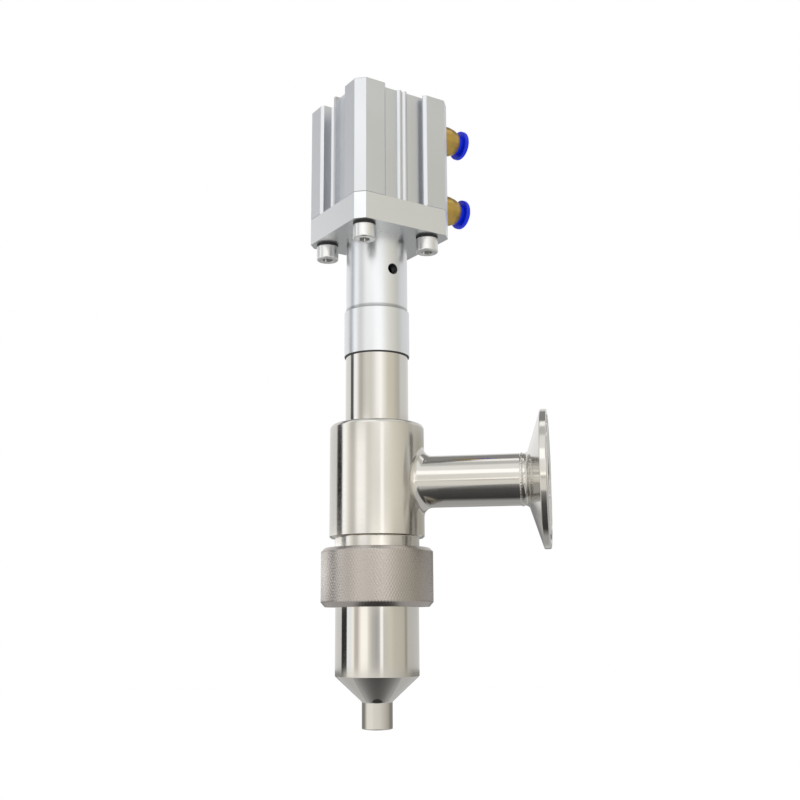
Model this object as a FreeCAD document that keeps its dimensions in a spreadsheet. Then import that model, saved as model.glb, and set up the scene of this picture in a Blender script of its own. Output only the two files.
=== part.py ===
import FreeCAD, Part

import math
import os
import re

import Sketcher

# Air-driven filling nozzle: a stainless tee with a knurled union nut and an outlet sleeve, and above it an
# adapter flange with a short-stroke air cylinder that lifts the valve stem off its conical seat.
# Row frame: origin at the centre of the outlet's end face, +Z up the valve axis, +X along the side inlet.
# The cylinder, its adapter and its fittings share a local frame turned about Z: there +X is the port side.

# Driving sizes in millimetres (degrees where it says so), from the outlet upwards.
SIZES = (
    ("tip_diameter", 11.0, "outlet tip, outside"),
    ("tip_bore", 8.0, "outlet bore"),
    ("tip_length", 9.3, "straight part of the tip"),
    ("tip_lip", 0.3, "chamfer at the outlet's rim"),
    ("cone_height", 8.95, "outside cone between tip and sleeve"),
    ("cone_wall", 2.0, "wall of the cone, square to it"),
    ("sleeve_diameter", 30.3, "outlet sleeve, outside"),
    ("sleeve_bore", 27.0, "outlet sleeve, inside"),
    ("sleeve_length", 29.8, "sleeve from the cone to the underside of its flange"),
    ("sleeve_flange_diameter", 33.0, "flange that hangs on the nut's lip"),
    ("sleeve_flange_thickness", 3.2, "flange on top of the sleeve"),
    ("union_gasket_thickness", 1.2, "gasket between sleeve and tee"),
    ("union_gasket_diameter", 32.4, "gasket, outside"),
    ("nut_diameter", 41.0, "union nut over its knurl"),
    ("nut_height", 19.3, "union nut"),
    ("nut_lip", 3.9, "inward lip at the nut's foot"),
    ("nut_lip_clearance", 0.2, "lip to sleeve, on the radius"),
    ("nut_chamfer", 1.3, "bevel at both rims of the nut"),
    ("nut_mouth", 0.8, "lead-in bevel of the nut's thread"),
    ("union_thread_diameter", 34.6, "thread on the tee's lower neck"),
    ("union_thread_length", 9.5, "thread on the tee's lower neck"),
    ("thread_clearance", 0.05, "threads and other screwed fits, on the radius"),
    ("relief_diameter", 31.0, "plain neck between thread and body"),
    ("relief_length", 5.25, "plain neck between thread and body"),
    ("body_diameter", 35.0, "tee body"),
    ("body_length", 41.85, "tee body"),
    ("body_shoulder", 1.6, "rounded top edge of the tee body"),
    ("body_foot_chamfer", 0.5, "bottom edge of the tee body"),
    ("chamber_diameter", 27.0, "product chamber in the tee"),
    ("roof_thickness", 12.0, "screwed roof above the chamber"),
    ("inlet_rise", 20.25, "inlet axis above the body's foot"),
    ("inlet_diameter", 19.0, "inlet tube, outside"),
    ("inlet_bore", 16.0, "inlet tube, inside"),
    ("inlet_blend", 3.4, "fillet between inlet branch and body"),
    ("branch_length", 24.0, "axis to the end of the tee's own branch"),
    ("inlet_tube_length", 29.1, "tube between branch and ferrule"),
    ("ferrule_length", 10.2, "ferrule from its weld to its face"),
    ("ferrule_diameter", 50.5, "clamp ferrule"),
    ("ferrule_rim", 2.4, "cylindrical rim of the ferrule"),
    ("ferrule_back_angle", 18.0, "slope of the ferrule's back, degrees"),
    ("ferrule_neck_blend", 1.7, "fillet between the ferrule's back and its neck"),
    ("face_groove_diameter", 43.5, "gasket groove in the ferrule's face"),
    ("face_groove_radius", 1.55, "section of the gasket groove"),
    ("weld_bead", 0.28, "height of the dressed weld bead"),
    ("weld_width", 1.2, "width of the dressed weld bead"),
    ("housing_diameter", 23.6, "seal housing between tee and collar"),
    ("housing_length", 25.8, "seal housing, the part that shows"),
    ("housing_foot_groove", 0.3, "fine turned line where the housing meets the body"),
    ("foot_thread_diameter", 20.8, "housing's thread in the tee's roof"),
    ("spigot_diameter", 19.2, "housing's thread in the collar"),
    ("spigot_length", 14.0, "housing's thread in the collar"),
    ("stem_diameter", 8.0, "valve stem"),
    ("stem_play", 0.05, "stem in its bush, on the radius"),
    ("stem_passage", 8.6, "bore of the housing round the stem"),
    ("bush_diameter", 14.0, "stem guide bush, body"),
    ("bush_length", 10.0, "stem guide bush, body"),
    ("bush_flange_diameter", 18.4, "stem guide bush, flange"),
    ("bush_flange_thickness", 1.5, "stem guide bush, flange"),
    ("seal_section", 2.8, "cord of the stem seals"),
    ("seal_land", 1.6, "metal under and between the stem seals"),
    ("housing_seal_section", 1.4, "cord of the seal on the housing's foot thread"),
    ("seal_play", 0.05, "seals to their seats"),
    ("adapter_gasket_thickness", 0.5, "black joint under the collar"),
    ("adapter_gasket_diameter", 24.2, "black joint under the collar"),
    ("collar_diameter", 24.7, "collar at the adapter's foot"),
    ("collar_length", 17.3, "collar at the adapter's foot"),
    ("collar_step", 0.35, "bevel on the collar's upper edge"),
    ("adapter_tube_diameter", 23.4, "adapter tube"),
    ("adapter_tube_length", 29.1, "adapter tube between collar and plate"),
    ("adapter_cavity", 16.0, "bore of the adapter tube"),
    ("leak_hole", 4.2, "leak hole in the adapter tube"),
    ("leak_hole_rise", 14.75, "leak hole above the collar"),
    ("plate_thickness", 10.2, "adapter plate"),
    ("actuator_turn", 42.5, "port side, turned from the inlet about the axis, degrees"),
    ("block_half_width", 20.0, "barrel and plate, axis to the three plain sides"),
    ("block_port_reach", 22.0, "barrel and plate, axis to the port side"),
    ("block_chamfer", 3.2, "corner bevels of barrel and plate"),
    ("recess_half_width", 8.6, "shallow recess in the barrel's sides"),
    ("recess_depth", 3.2, "shallow recess in the barrel's sides"),
    ("recess_bevel", 1.0, "bevels at both edges of the recess"),
    ("recess_offset", 0.9, "recesses beside the port side, moved towards the ports"),
    ("lip_thickness", 0.4, "lips that overhang the recess behind its bevels"),
    ("lip_reach", 1.2, "undercut behind the lips"),
    ("rib_depth", 2.0, "barrel's side to the crests of the pair of ribs"),
    ("rib_inner", 0.9, "pair of ribs, inner edge of the crest from the middle"),
    ("rib_outer", 1.5, "pair of ribs, outer edge of the crest from the middle"),
    ("rib_bevel", 0.75, "bevels of the ribs"),
    ("left_recess_depth", 5.2, "rear half of the recess opposite the ports"),
    ("left_foot_bevel", 0.9, "bevel at the foot of that half's wall"),
    ("left_rib_depth", 1.1, "barrel's side to the crest of the single rib opposite the ports"),
    ("left_rib_rear", 0.9, "single rib, its rear side from the middle"),
    ("left_rib_front", 0.35, "single rib, its front side from the middle"),
    ("block_edge", 0.3, "broken edges of the barrel's ends"),
    ("cylinder_bore", 25.0, "air cylinder"),
    ("cover_bore", 27.0, "counterbores for the covers"),
    ("cover_clearance", 0.05, "covers in their counterbores, on the radius"),
    ("stroke", 12.0, "lift of the valve"),
    ("piston_length", 13.5, "piston"),
    ("piston_clearance", 0.1, "piston in its bore, on the radius"),
    ("stop_clearance", 0.3, "piston to its stops at either end of the stroke"),
    ("ring_thickness", 1.2, "retaining rings"),
    ("ring_slack", 0.1, "retaining rings in their grooves"),
    ("ring_depth", 0.6, "retaining rings, depth of their grooves"),
    ("ring_band", 2.0, "retaining rings, radial width"),
    ("ring_lug", 1.8, "retaining rings, radius of the lugs"),
    ("ring_lug_hole", 0.75, "retaining rings, radius of the plier holes"),
    ("front_ring_inset", 1.6, "barrel's foot to the front ring"),
    ("front_flange_thickness", 5.5, "front cover, flange"),
    ("front_nose_height", 3.1, "front cover, nose that stops the piston"),
    ("front_port_rise", 9.2, "front port above the barrel's foot"),
    ("rear_ring_inset", 0.8, "barrel's top to the rear ring"),
    ("rear_flange_thickness", 1.6, "rear cover, flange"),
    ("rear_gasket_thickness", 0.5, "rear cover gasket"),
    ("rear_nose_height", 4.6, "rear cover, nose that stops the piston"),
    ("rear_port_drop", 6.0, "rear port below the barrel's top"),
    ("nose_diameter", 18.0, "noses of both covers"),
    ("port_passage", 2.5, "drilling from port to bore"),
    ("port_thread", 5.0, "port thread"),
    ("port_thread_depth", 5.5, "port thread"),
    ("pad_width", 12.0, "low pad on the port side"),
    ("pad_height", 9.5, "low pad on the port side"),
    ("pad_proud", 0.9, "low pad on the port side"),
    ("rod_diameter", 12.0, "piston rod"),
    ("rod_play", 0.05, "rod in its bush, on the radius"),
    ("rod_reach", 11.8, "rod's end below the plate, valve closed"),
    ("rod_register", 2.0, "rod's end in the piston"),
    ("rod_bush_wall", 1.2, "rod bush"),
    ("rod_bush_length", 2.6, "rod bush"),
    ("rod_seal_section", 2.4, "cord of the rod seal"),
    ("cover_seal_section", 1.4, "cord of the front cover seal"),
    ("piston_seal_section", 2.6, "cord of the piston seal"),
    ("piston_seal_rise", 2.2, "piston's foot to the seal groove"),
    ("magnet_height", 3.0, "ring magnet"),
    ("magnet_depth", 3.0, "ring magnet, groove depth"),
    ("magnet_rise", 7.6, "piston's foot to the ring magnet"),
    ("piston_screw_diameter", 6.0, "screw that holds the piston on the rod"),
    ("piston_screw_head", 10.0, "its low head"),
    ("piston_screw_head_height", 3.0, "its low head"),
    ("piston_screw_grip", 12.0, "its thread in the rod"),
    ("stud_diameter", 6.0, "stem's upper thread"),
    ("stud_length", 14.0, "stem's upper thread above the lock nut"),
    ("lock_nut_height", 5.0, "lock nut between stem and rod"),
    ("lock_nut_flats", 10.0, "lock nut"),
    ("plug_nose_gap", 0.3, "seat's throat to the plug's nose"),
    ("plug_diameter", 15.2, "valve plug"),
    ("plug_barrel", 4.0, "straight part of the plug"),
    ("plug_shoulder", 2.0, "sloped top of the plug"),
    ("plug_neck", 10.6, "top face of the plug"),
    ("plug_stud_diameter", 5.0, "stem's lower thread, in the plug"),
    ("plug_stud_length", 6.5, "stem's lower thread, in the plug"),
    ("seat_clearance", 0.15, "plug to seat, square to the cone"),
    ("plug_seal_section", 1.9, "cord of the plug seal"),
    ("plug_seal_clearance", 0.1, "plug seal to seat"),
    ("plug_seal_contact", 6.3, "radius of the seat where the plug seal meets it"),
    ("screw_pitch", 28.0, "plate screws, spacing of their square"),
    ("screw_diameter", 5.0, "plate screws"),
    ("screw_grip", 10.0, "plate screws, thread in the barrel"),
    ("screw_head_diameter", 8.5, "plate screws, head"),
    ("screw_head_height", 5.3, "plate screws, head"),
    ("screw_head_edge", 0.45, "plate screws, bevel of the head"),
    ("screw_socket", 4.0, "plate screws, hexagon socket across flats"),
    ("screw_socket_depth", 2.6, "plate screws, hexagon socket"),
    ("screw_hole", 5.4, "plate, clearance holes"),
    ("screw_clearance", 0.05, "screws in tapped holes, on the radius"),
    ("rear_hole_diameter", 6.0, "tapped holes in the barrel's top"),
    ("rear_hole_depth", 14.0, "tapped holes in the barrel's top"),
    ("core_hole", 4.2, "drilling between the tapped holes of both ends"),
    ("washer_diameter", 8.4, "spring washers"),
    ("washer_thickness", 0.9, "spring washers"),
    ("washer_split_tilt", 25, "spring washers, slope of the split in degrees"),
    ("screw_first_turn", 20, "plate screws, angle of the first hexagon socket in degrees"),
    ("screw_turn_step", 35, "plate screws, angle from one hexagon socket to the next in degrees"),
    ("tap_reserve", 1.0, "tapped holes, deeper than the screws reach"),
    ("washer_slot", 0.9, "spring washers, their split"),
    ("fitting_thread_length", 4.0, "tube fittings, thread"),
    ("fitting_gasket_thickness", 0.8, "tube fittings, gasket"),
    ("fitting_gasket_diameter", 8.4, "tube fittings, gasket"),
    ("fitting_flats", 10.4, "tube fittings, hexagon"),
    ("fitting_flats_length", 3.6, "tube fittings, hexagon"),
    ("fitting_length", 14.7, "tube fittings, brass body"),
    ("fitting_bevel", 1.1, "tube fittings, bevel of the hexagon at the gasket"),
    ("fitting_taper", 1.25, "tube fittings, bell-shaped end at the collar, on the radius"),
    ("fitting_taper_length", 4.5, "tube fittings, bell-shaped end at the collar"),
    ("fitting_taper_blend", 3.0, "tube fittings, rounding of the bell-shaped end"),
    ("fitting_passage", 2.5, "tube fittings, bore of the thread"),
    ("tube_diameter", 6.1, "tube fittings, bore for the air tube"),
    ("tube_stop", 2.2, "gasket face to the end stop of the air tube"),
    ("tube_seat_length", 3.0, "bore that holds the air tube's end"),
    ("tube_seal_section", 1.1, "cord of the tube seal"),
    ("cartridge_bore", 8.4, "bore for seal, grab ring and collar"),
    ("grab_ring_thickness", 0.6, "grab ring"),
    ("collar_travel", 1.2, "release collar, push to release"),
    ("collar_reserve", 0.8, "release collar to the brass when pushed in"),
    ("collar_flange_diameter", 11.8, "release collar, flange"),
    ("collar_flange_thickness", 1.9, "release collar, flange"),
    ("collar_edge", 0.5, "release collar, rounded rim"),
    ("collar_neck_diameter", 8.2, "release collar, neck"),
    ("collar_neck_length", 6.3, "release collar, neck"),
)

# Values worked out from the sizes: heights above the outlet, and slopes of the cone and its seat.
DERIVED = (
    ("cone_top", "=tip_length + cone_height"),
    ("lip_top", "=cone_top + sleeve_length"),
    ("sleeve_height", "=lip_top + sleeve_flange_thickness"),
    ("tee_foot", "=sleeve_height + union_gasket_thickness"),
    ("neck_length", "=union_thread_length + relief_length"),
    ("tee_height", "=neck_length + body_length"),
    ("chamber_roof", "=tee_height - roof_thickness"),
    ("inlet_local", "=neck_length + inlet_rise"),
    ("inlet_level", "=tee_foot + inlet_local"),
    ("body_top", "=tee_foot + tee_height"),
    ("housing_foot", "=body_top - roof_thickness"),
    ("housing_top", "=body_top + housing_length"),
    ("collar_foot", "=housing_top + adapter_gasket_thickness"),
    ("plate_foot_local", "=collar_length + adapter_tube_length"),
    ("adapter_height", "=plate_foot_local + plate_thickness"),
    ("plate_foot", "=collar_foot + plate_foot_local"),
    ("barrel_foot", "=collar_foot + adapter_height"),
    ("front_shoulder", "=front_ring_inset + ring_thickness + front_flange_thickness"),
    ("front_stop", "=front_shoulder + front_nose_height"),
    ("rear_shoulder", "=rear_ring_inset + ring_thickness + rear_flange_thickness + rear_gasket_thickness"),
    ("rear_stop", "=rear_shoulder - rear_gasket_thickness + rear_nose_height"),
    ("barrel_height", "=front_stop + piston_length + stroke + 2 * stop_clearance + rear_stop"),
    ("barrel_top", "=barrel_foot + barrel_height"),
    ("piston_foot", "=barrel_foot + front_stop + stop_clearance"),
    ("rod_end", "=plate_foot - rod_reach"),
    ("rod_length", "=piston_foot + rod_register - rod_end"),
    ("stem_shoulder", "=rod_end - lock_nut_height"),
    ("cone_slope", "=(sleeve_diameter - tip_diameter) / 2 / cone_height"),
    ("slant", "=sqrt(1 + cone_slope ^ 2)"),
    ("seat_inset", "=cone_wall * slant"),
    ("throat_top", "=tip_length + (tip_bore / 2 - tip_diameter / 2 + seat_inset) / cone_slope"),
    ("seat_top", "=tip_length + (sleeve_bore / 2 - tip_diameter / 2 + seat_inset) / cone_slope"),
    ("plug_foot", "=throat_top + plug_nose_gap"),
    ("plug_nose_radius", "=tip_bore / 2 + plug_nose_gap * cone_slope - seat_clearance * slant"),
    ("plug_cone_height", "=(plug_diameter / 2 - plug_nose_radius) / cone_slope"),
    ("plug_height", "=plug_cone_height + plug_barrel + plug_shoulder"),
    ("stem_foot", "=plug_foot + plug_height - plug_stud_length"),
    ("seal_offset", "=plug_seal_section / 2 + plug_seal_clearance"),
    ("plug_seal_radius", "=plug_seal_contact - seal_offset / slant"),
    ("contact_rise", "=(plug_seal_contact - tip_bore / 2) / cone_slope"),
    ("plug_seal_rise", "=contact_rise - plug_nose_gap + seal_offset * cone_slope / slant"),
    ("nut_foot", "=lip_top - nut_lip"),
    ("bush_recess", "=spigot_length + bush_flange_thickness - adapter_gasket_thickness"),
    ("stem_seal_radius", "=stem_diameter / 2 + stem_play + seal_section / 2"),
    ("collar_gap", "=collar_travel + collar_reserve"),
    ("front_port_level", "=barrel_foot + front_port_rise"),
    ("rear_port_level", "=barrel_top - rear_port_drop"),
    ("screw_length", "=washer_thickness + plate_thickness + screw_grip"),
)

document = FreeCAD.newDocument("filling_nozzle")
sheet = document.addObject("Spreadsheet::Sheet", "Sizes")
for row, (alias, value, meaning) in enumerate(SIZES, 1):
    sheet.set(f"A{row}", alias)
    sheet.set(f"B{row}", str(value))
    sheet.set(f"C{row}", meaning)
    sheet.setAlias(f"B{row}", alias)
for row, (alias, formula) in enumerate(DERIVED, len(SIZES) + 2):
    sheet.set(f"A{row}", alias)
    sheet.set(f"B{row}", formula)
    sheet.setAlias(f"B{row}", alias)
document.recompute()

ALIASES = {alias for alias, *_ in SIZES} | {alias for alias, _ in DERIVED}
# Every outline is first drawn as a rough ring here, then its dimensions pull it into shape.
ROUGH_MIDDLE = 20
ROUGH_RADIUS = 5
UP = FreeCAD.Vector(0, 0, 1)
ACROSS = FreeCAD.Vector(0, 1, 0)
pieces = []


def size(alias):
    """The value of one cell."""
    return float(sheet.get(alias))


def bound(formula):
    """A formula in cell names, as an expression on the sheet."""
    return re.sub(r"[a-z_]+", lambda word: f"Sizes.{word[0]}" if word[0] in ALIASES else word[0], formula)


def bind(item, **formulas):
    """Bind properties of an object to formulas in cell names."""
    for name, formula in formulas.items():
        item.setExpression(name, bound(formula))


def place(height=0.0, turn=0.0, out=0.0, lie=False):
    """A placement: raised by height, moved out along a heading, and lying along that heading or upright."""
    heading = FreeCAD.Rotation(UP, turn)
    point = heading.multVec(FreeCAD.Vector(out, 0, 0)) + FreeCAD.Vector(0, 0, height)
    rotation = heading * FreeCAD.Rotation(ACROSS, 90) if lie else heading
    return FreeCAD.Placement(point, rotation)


def new_body(name):
    body = document.addObject("PartDesign::Body", name)
    body.Label = name
    return body


def keep(item, label, placement=None):
    """Register a finished piece under its own name, at its place."""
    item.Label = label
    if placement is not None:
        item.Placement = placement
    pieces.append(item)
    return item


def new_sketch(body, plane, level="0"):
    """A sketch on one of the body's own origin planes, raised along the plane's normal."""
    sketch = body.newObject("Sketcher::SketchObject", f"{body.Name}_sketch")
    support = [feature for feature in body.Origin.OriginFeatures if feature.Role == plane][0]
    sketch.AttachmentSupport = (support, [""])
    sketch.MapMode = "FlatFace"
    sketch.setExpression("AttachmentOffset.Base.z", bound(level))
    return sketch


def polygon(sketch, corners):
    """A closed outline through corners whose two coordinates are formulas."""
    count = len(corners)
    ring = [2 * math.pi * number / count for number in range(count)]
    middle = FreeCAD.Vector(ROUGH_MIDDLE, ROUGH_MIDDLE, 0)
    rough = [middle + ROUGH_RADIUS * FreeCAD.Vector(math.cos(angle), math.sin(angle), 0) for angle in ring]
    first = sketch.GeometryCount
    for number in range(count):
        sketch.addGeometry(Part.LineSegment(rough[number], rough[(number + 1) % count]))
    for number in range(count):
        following = first + (number + 1) % count
        sketch.addConstraint(Sketcher.Constraint("Coincident", first + number, 2, following, 1))
    for number, (across, along) in enumerate(corners):
        start = rough[number]
        for kind, distance, formula in (("DistanceX", start.x, across), ("DistanceY", start.y, along)):
            index = sketch.addConstraint(Sketcher.Constraint(kind, -1, 1, first + number, 1, distance))
            sketch.setExpression(f"Constraints[{index}]", bound(formula))


def circle(sketch, diameter, across="0", along="0"):
    """A circle whose diameter and centre are formulas."""
    middle = FreeCAD.Vector(ROUGH_MIDDLE, ROUGH_MIDDLE, 0)
    index = sketch.addGeometry(Part.Circle(middle, UP, ROUGH_RADIUS))
    spot = sketch.addConstraint(Sketcher.Constraint("DistanceX", -1, 1, index, 3, ROUGH_MIDDLE))
    sketch.setExpression(f"Constraints[{spot}]", bound(across))
    spot = sketch.addConstraint(Sketcher.Constraint("DistanceY", -1, 1, index, 3, ROUGH_MIDDLE))
    sketch.setExpression(f"Constraints[{spot}]", bound(along))
    spot = sketch.addConstraint(Sketcher.Constraint("Diameter", index, 2 * ROUGH_RADIUS))
    sketch.setExpression(f"Constraints[{spot}]", bound(diameter))


def revolve(body, corners, kind="Revolution", plane="XZ_Plane"):
    """Turn an outline of (radius, height) corners about the body's Z axis: Revolution adds, Groove cuts."""
    sketch = new_sketch(body, plane)
    polygon(sketch, corners)
    feature = body.newObject(f"PartDesign::{kind}", f"{body.Name}_turned")
    feature.Profile = sketch
    feature.ReferenceAxis = (sketch, ["V_Axis"])
    feature.Angle = 360
    document.recompute()
    return feature


def extrude(body, sketch, length, kind="Pad", reverse=False):
    """Pad or Pocket of a sketch, with its length as a formula; a Pocket has to take material away."""
    before = body.Shape.Volume if kind == "Pocket" else 0.0
    feature = body.newObject(f"PartDesign::{kind}", f"{body.Name}_{kind.lower()}")
    feature.Profile = sketch
    feature.Reversed = reverse
    bind(feature, Length=length)
    document.recompute()
    if kind == "Pocket" and not feature.Shape.Volume < before:
        raise ValueError(f"{feature.Name} cuts nothing")
    return feature


def dress(body, kind, amount, chooser):
    """Fillet or Chamfer the edges of the body's tip that the chooser picks."""
    base = body.Tip
    names = [f"Edge{number}" for number, edge in enumerate(base.Shape.Edges, 1) if chooser(edge)]
    feature = body.newObject(f"PartDesign::{kind}", f"{body.Name}_{kind.lower()}")
    feature.Base = (base, names)
    bind(feature, **{"Radius" if kind == "Fillet" else "Size": amount})
    document.recompute()
    return feature


def is_ring(edge, radius, height):
    """A circular edge about Z with this radius at this height."""
    if edge.Curve.TypeId != "Part::GeomCircle":
        return False
    near = abs(edge.Curve.Radius - radius) < 1e-4 and abs(edge.Curve.Center.z - height) < 1e-4
    return near and abs(abs(edge.Curve.Axis.z) - 1) < 1e-6


def turned(label, corners, placement=None):
    """A piece turned from one outline."""
    body = new_body(label)
    revolve(body, corners)
    return keep(body, label, placement)


def tube(outside, inside, length):
    """The outline of a plain ring or tube: two diameters and a length."""
    inner, outer = f"({inside}) / 2", f"({outside}) / 2"
    return [(inner, "0"), (outer, "0"), (outer, length), (inner, length)]


def torus(name, radius, section, height="0"):
    """A ring of round cord, named but not yet kept."""
    item = document.addObject("Part::Torus", name)
    bind(item, Radius1=radius, Radius2=f"({section}) / 2")
    item.setExpression("Placement.Base.z", bound(height))
    return item


def cord_ring(label, radius, section, placement):
    """A sealing ring of round cord."""
    item = document.addObject("Part::Torus", label)
    bind(item, Radius1=radius, Radius2=f"({section}) / 2")
    document.recompute()
    return keep(item, label, placement)


def hexagon(name, flats, length, height="0", turn=0.0):
    """A hexagonal prism, by its size across flats."""
    item = document.addObject("Part::Prism", name)
    item.Polygon = 6
    bind(item, Circumradius=f"({flats}) / sqrt(3)", Height=length)
    item.Placement = FreeCAD.Placement(FreeCAD.Vector(), FreeCAD.Rotation(UP, turn))
    item.setExpression("Placement.Base.z", bound(height))
    return item


def boolean(kind, name, base, tool):
    item = document.addObject(f"Part::{kind}", name)
    item.Base = base
    item.Tool = tool
    document.recompute()
    return item


def nozzle_sleeve():
    """Outlet tip, cone and sleeve in one piece: its inside cone is the valve's seat."""
    turned("nozzle_sleeve", [
        ("tip_bore / 2", "0"),
        ("tip_diameter / 2 - tip_lip", "0"),
        ("tip_diameter / 2", "tip_lip"),
        ("tip_diameter / 2", "tip_length"),
        ("sleeve_diameter / 2", "cone_top"),
        ("sleeve_diameter / 2", "lip_top"),
        ("sleeve_flange_diameter / 2", "lip_top"),
        ("sleeve_flange_diameter / 2", "sleeve_height"),
        ("sleeve_bore / 2", "sleeve_height"),
        ("sleeve_bore / 2", "seat_top"),
        ("tip_bore / 2", "throat_top"),
    ])


def union_nut():
    """Knurled nut: its lip carries the sleeve's flange and its thread draws it up to the tee."""
    bore = "union_thread_diameter / 2 + thread_clearance"
    lip = "sleeve_diameter / 2 + nut_lip_clearance"
    turned("union_nut", [
        (lip, "0"),
        ("nut_diameter / 2 - nut_chamfer", "0"),
        ("nut_diameter / 2", "nut_chamfer"),
        ("nut_diameter / 2", "nut_height - nut_chamfer"),
        ("nut_diameter / 2 - nut_chamfer", "nut_height"),
        (f"{bore} + nut_mouth", "nut_height"),
        (bore, "nut_height - nut_mouth"),
        (bore, "nut_lip"),
        (lip, "nut_lip"),
    ], place(size("nut_foot")))


def tee_body():
    """Tee body: threaded neck below, product chamber, side branch blended into the body, screwed roof."""
    body = new_body("tee_body")
    revolve(body, [
        ("0", "0"),
        ("union_thread_diameter / 2 - body_foot_chamfer", "0"),
        ("union_thread_diameter / 2", "body_foot_chamfer"),
        ("union_thread_diameter / 2", "union_thread_length"),
        ("relief_diameter / 2", "union_thread_length"),
        ("relief_diameter / 2", "neck_length"),
        ("body_diameter / 2 - body_foot_chamfer", "neck_length"),
        ("body_diameter / 2", "neck_length + body_foot_chamfer"),
        ("body_diameter / 2", "tee_height"),
        ("0", "tee_height"),
    ], plane="YZ_Plane")
    branch = new_sketch(body, "YZ_Plane")
    circle(branch, "inlet_diameter", "0", "inlet_local")
    extrude(body, branch, "branch_length")
    plain = ("Part::GeomCircle", "Part::GeomLine")
    dress(body, "Fillet", "inlet_blend", lambda edge: edge.Curve.TypeId not in plain)
    dress(body, "Fillet", "body_shoulder",
          lambda edge: is_ring(edge, size("body_diameter") / 2, size("tee_height")))
    revolve(body, [
        ("0", "0"),
        ("chamber_diameter / 2", "0"),
        ("chamber_diameter / 2", "chamber_roof"),
        ("foot_thread_diameter / 2 + thread_clearance", "chamber_roof"),
        ("foot_thread_diameter / 2 + thread_clearance", "tee_height"),
        ("0", "tee_height"),
    ], "Groove")
    passage = new_sketch(body, "YZ_Plane")
    circle(passage, "inlet_bore", "0", "inlet_local")
    extrude(body, passage, "branch_length", "Pocket", reverse=True)
    keep(body, "tee_body", place(size("tee_foot")))


def inlet():
    """Inlet tube and clamp ferrule in line with the tee's branch; the ferrule carries the weld bead."""
    turned("inlet_tube", tube("inlet_diameter", "inlet_bore", "inlet_tube_length"),
           place(size("inlet_level"), 0, size("branch_length"), lie=True))
    body = new_body("ferrule_blank")
    rise = "(ferrule_diameter - inlet_diameter) / 2 * tan(ferrule_back_angle)"
    revolve(body, [
        ("inlet_bore / 2", "0"),
        ("inlet_diameter / 2", "0"),
        ("inlet_diameter / 2 + weld_bead", "weld_width / 3"),
        ("inlet_diameter / 2 + weld_bead", "weld_width * 2 / 3"),
        ("inlet_diameter / 2", "weld_width"),
        ("inlet_diameter / 2", f"ferrule_length - ferrule_rim - {rise}"),
        ("ferrule_diameter / 2", "ferrule_length - ferrule_rim"),
        ("ferrule_diameter / 2", "ferrule_length"),
        ("inlet_bore / 2", "ferrule_length"),
    ])
    slope = math.tan(math.radians(size("ferrule_back_angle")))
    back = size("ferrule_length") - size("ferrule_rim")
    back -= (size("ferrule_diameter") - size("inlet_diameter")) / 2 * slope
    dress(body, "Fillet", "ferrule_neck_blend", lambda edge: is_ring(edge, size("inlet_diameter") / 2, back))
    groove = torus("face_groove", "face_groove_diameter / 2", "2 * face_groove_radius", "ferrule_length")
    ferrule = boolean("Cut", "grooved_ferrule", body, groove)
    weld = size("branch_length") + size("inlet_tube_length")
    keep(ferrule, "inlet_ferrule", place(size("inlet_level"), 0, weld, lie=True))


def seal_housing():
    """Stainless neck: screwed into the tee's roof, holds the stem's seals and guide, carries the collar."""
    body = new_body("seal_housing")
    foot = "foot_thread_diameter / 2"
    groove_foot = "roof_thickness / 2"
    groove_top = f"{groove_foot} + housing_seal_section + 2 * seal_play"
    shown_top = "roof_thickness + housing_length"
    full_top = f"{shown_top} + spigot_length"
    revolve(body, [
        ("stem_passage / 2", "0"),
        (foot, "0"),
        (foot, groove_foot),
        (f"{foot} - housing_seal_section", groove_foot),
        (f"{foot} - housing_seal_section", groove_top),
        (foot, groove_top),
        (foot, "roof_thickness"),
        ("housing_diameter / 2 - housing_foot_groove", "roof_thickness"),
        ("housing_diameter / 2 - housing_foot_groove", "roof_thickness + housing_foot_groove"),
        ("housing_diameter / 2", "roof_thickness + 2 * housing_foot_groove"),
        ("housing_diameter / 2", shown_top),
        ("spigot_diameter / 2", shown_top),
        ("spigot_diameter / 2", full_top),
        ("bush_diameter / 2 + stem_play", full_top),
        ("bush_diameter / 2 + stem_play", f"{full_top} - bush_length - stem_play"),
        ("stem_passage / 2", f"{full_top} - bush_length - stem_play"),
    ])
    step = "seal_land + seal_section + 2 * seal_play"
    for number in (0, 1):
        low = f"seal_land + {number} * ({step})"
        high = f"{low} + seal_section + 2 * seal_play"
        shallow = "stem_diameter / 2"
        deep = "stem_seal_radius + seal_section / 2 + seal_play"
        revolve(body, [(shallow, low), (deep, low), (deep, high), (shallow, high)], "Groove")
    keep(body, "seal_housing", place(size("housing_foot")))
    pitch = size("seal_land") + size("seal_section") + 2 * size("seal_play")
    first = size("housing_foot") + size("seal_land") + size("seal_section") / 2 + size("seal_play")
    cord_ring("lower_stem_seal", "stem_seal_radius", "seal_section", place(first))
    cord_ring("upper_stem_seal", "stem_seal_radius", "seal_section", place(first + pitch))
    ring_height = size("housing_foot") + size("roof_thickness") / 2 + size("housing_seal_section") / 2
    cord_ring("housing_seal", "foot_thread_diameter / 2 - housing_seal_section / 2 - seal_play / 2",
              "housing_seal_section - seal_play", place(ring_height + size("seal_play")))


def stem_guide_bush():
    """Flanged bush that guides the stem, held between the housing's top and the adapter."""
    hole = "stem_diameter / 2 + stem_play"
    turned("stem_guide_bush", [
        (hole, "0"),
        ("bush_diameter / 2", "0"),
        ("bush_diameter / 2", "bush_length"),
        ("bush_flange_diameter / 2", "bush_length"),
        ("bush_flange_diameter / 2", "bush_length + bush_flange_thickness"),
        (hole, "bush_length + bush_flange_thickness"),
    ], place(size("housing_top") + size("spigot_length") - size("bush_length")))


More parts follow.
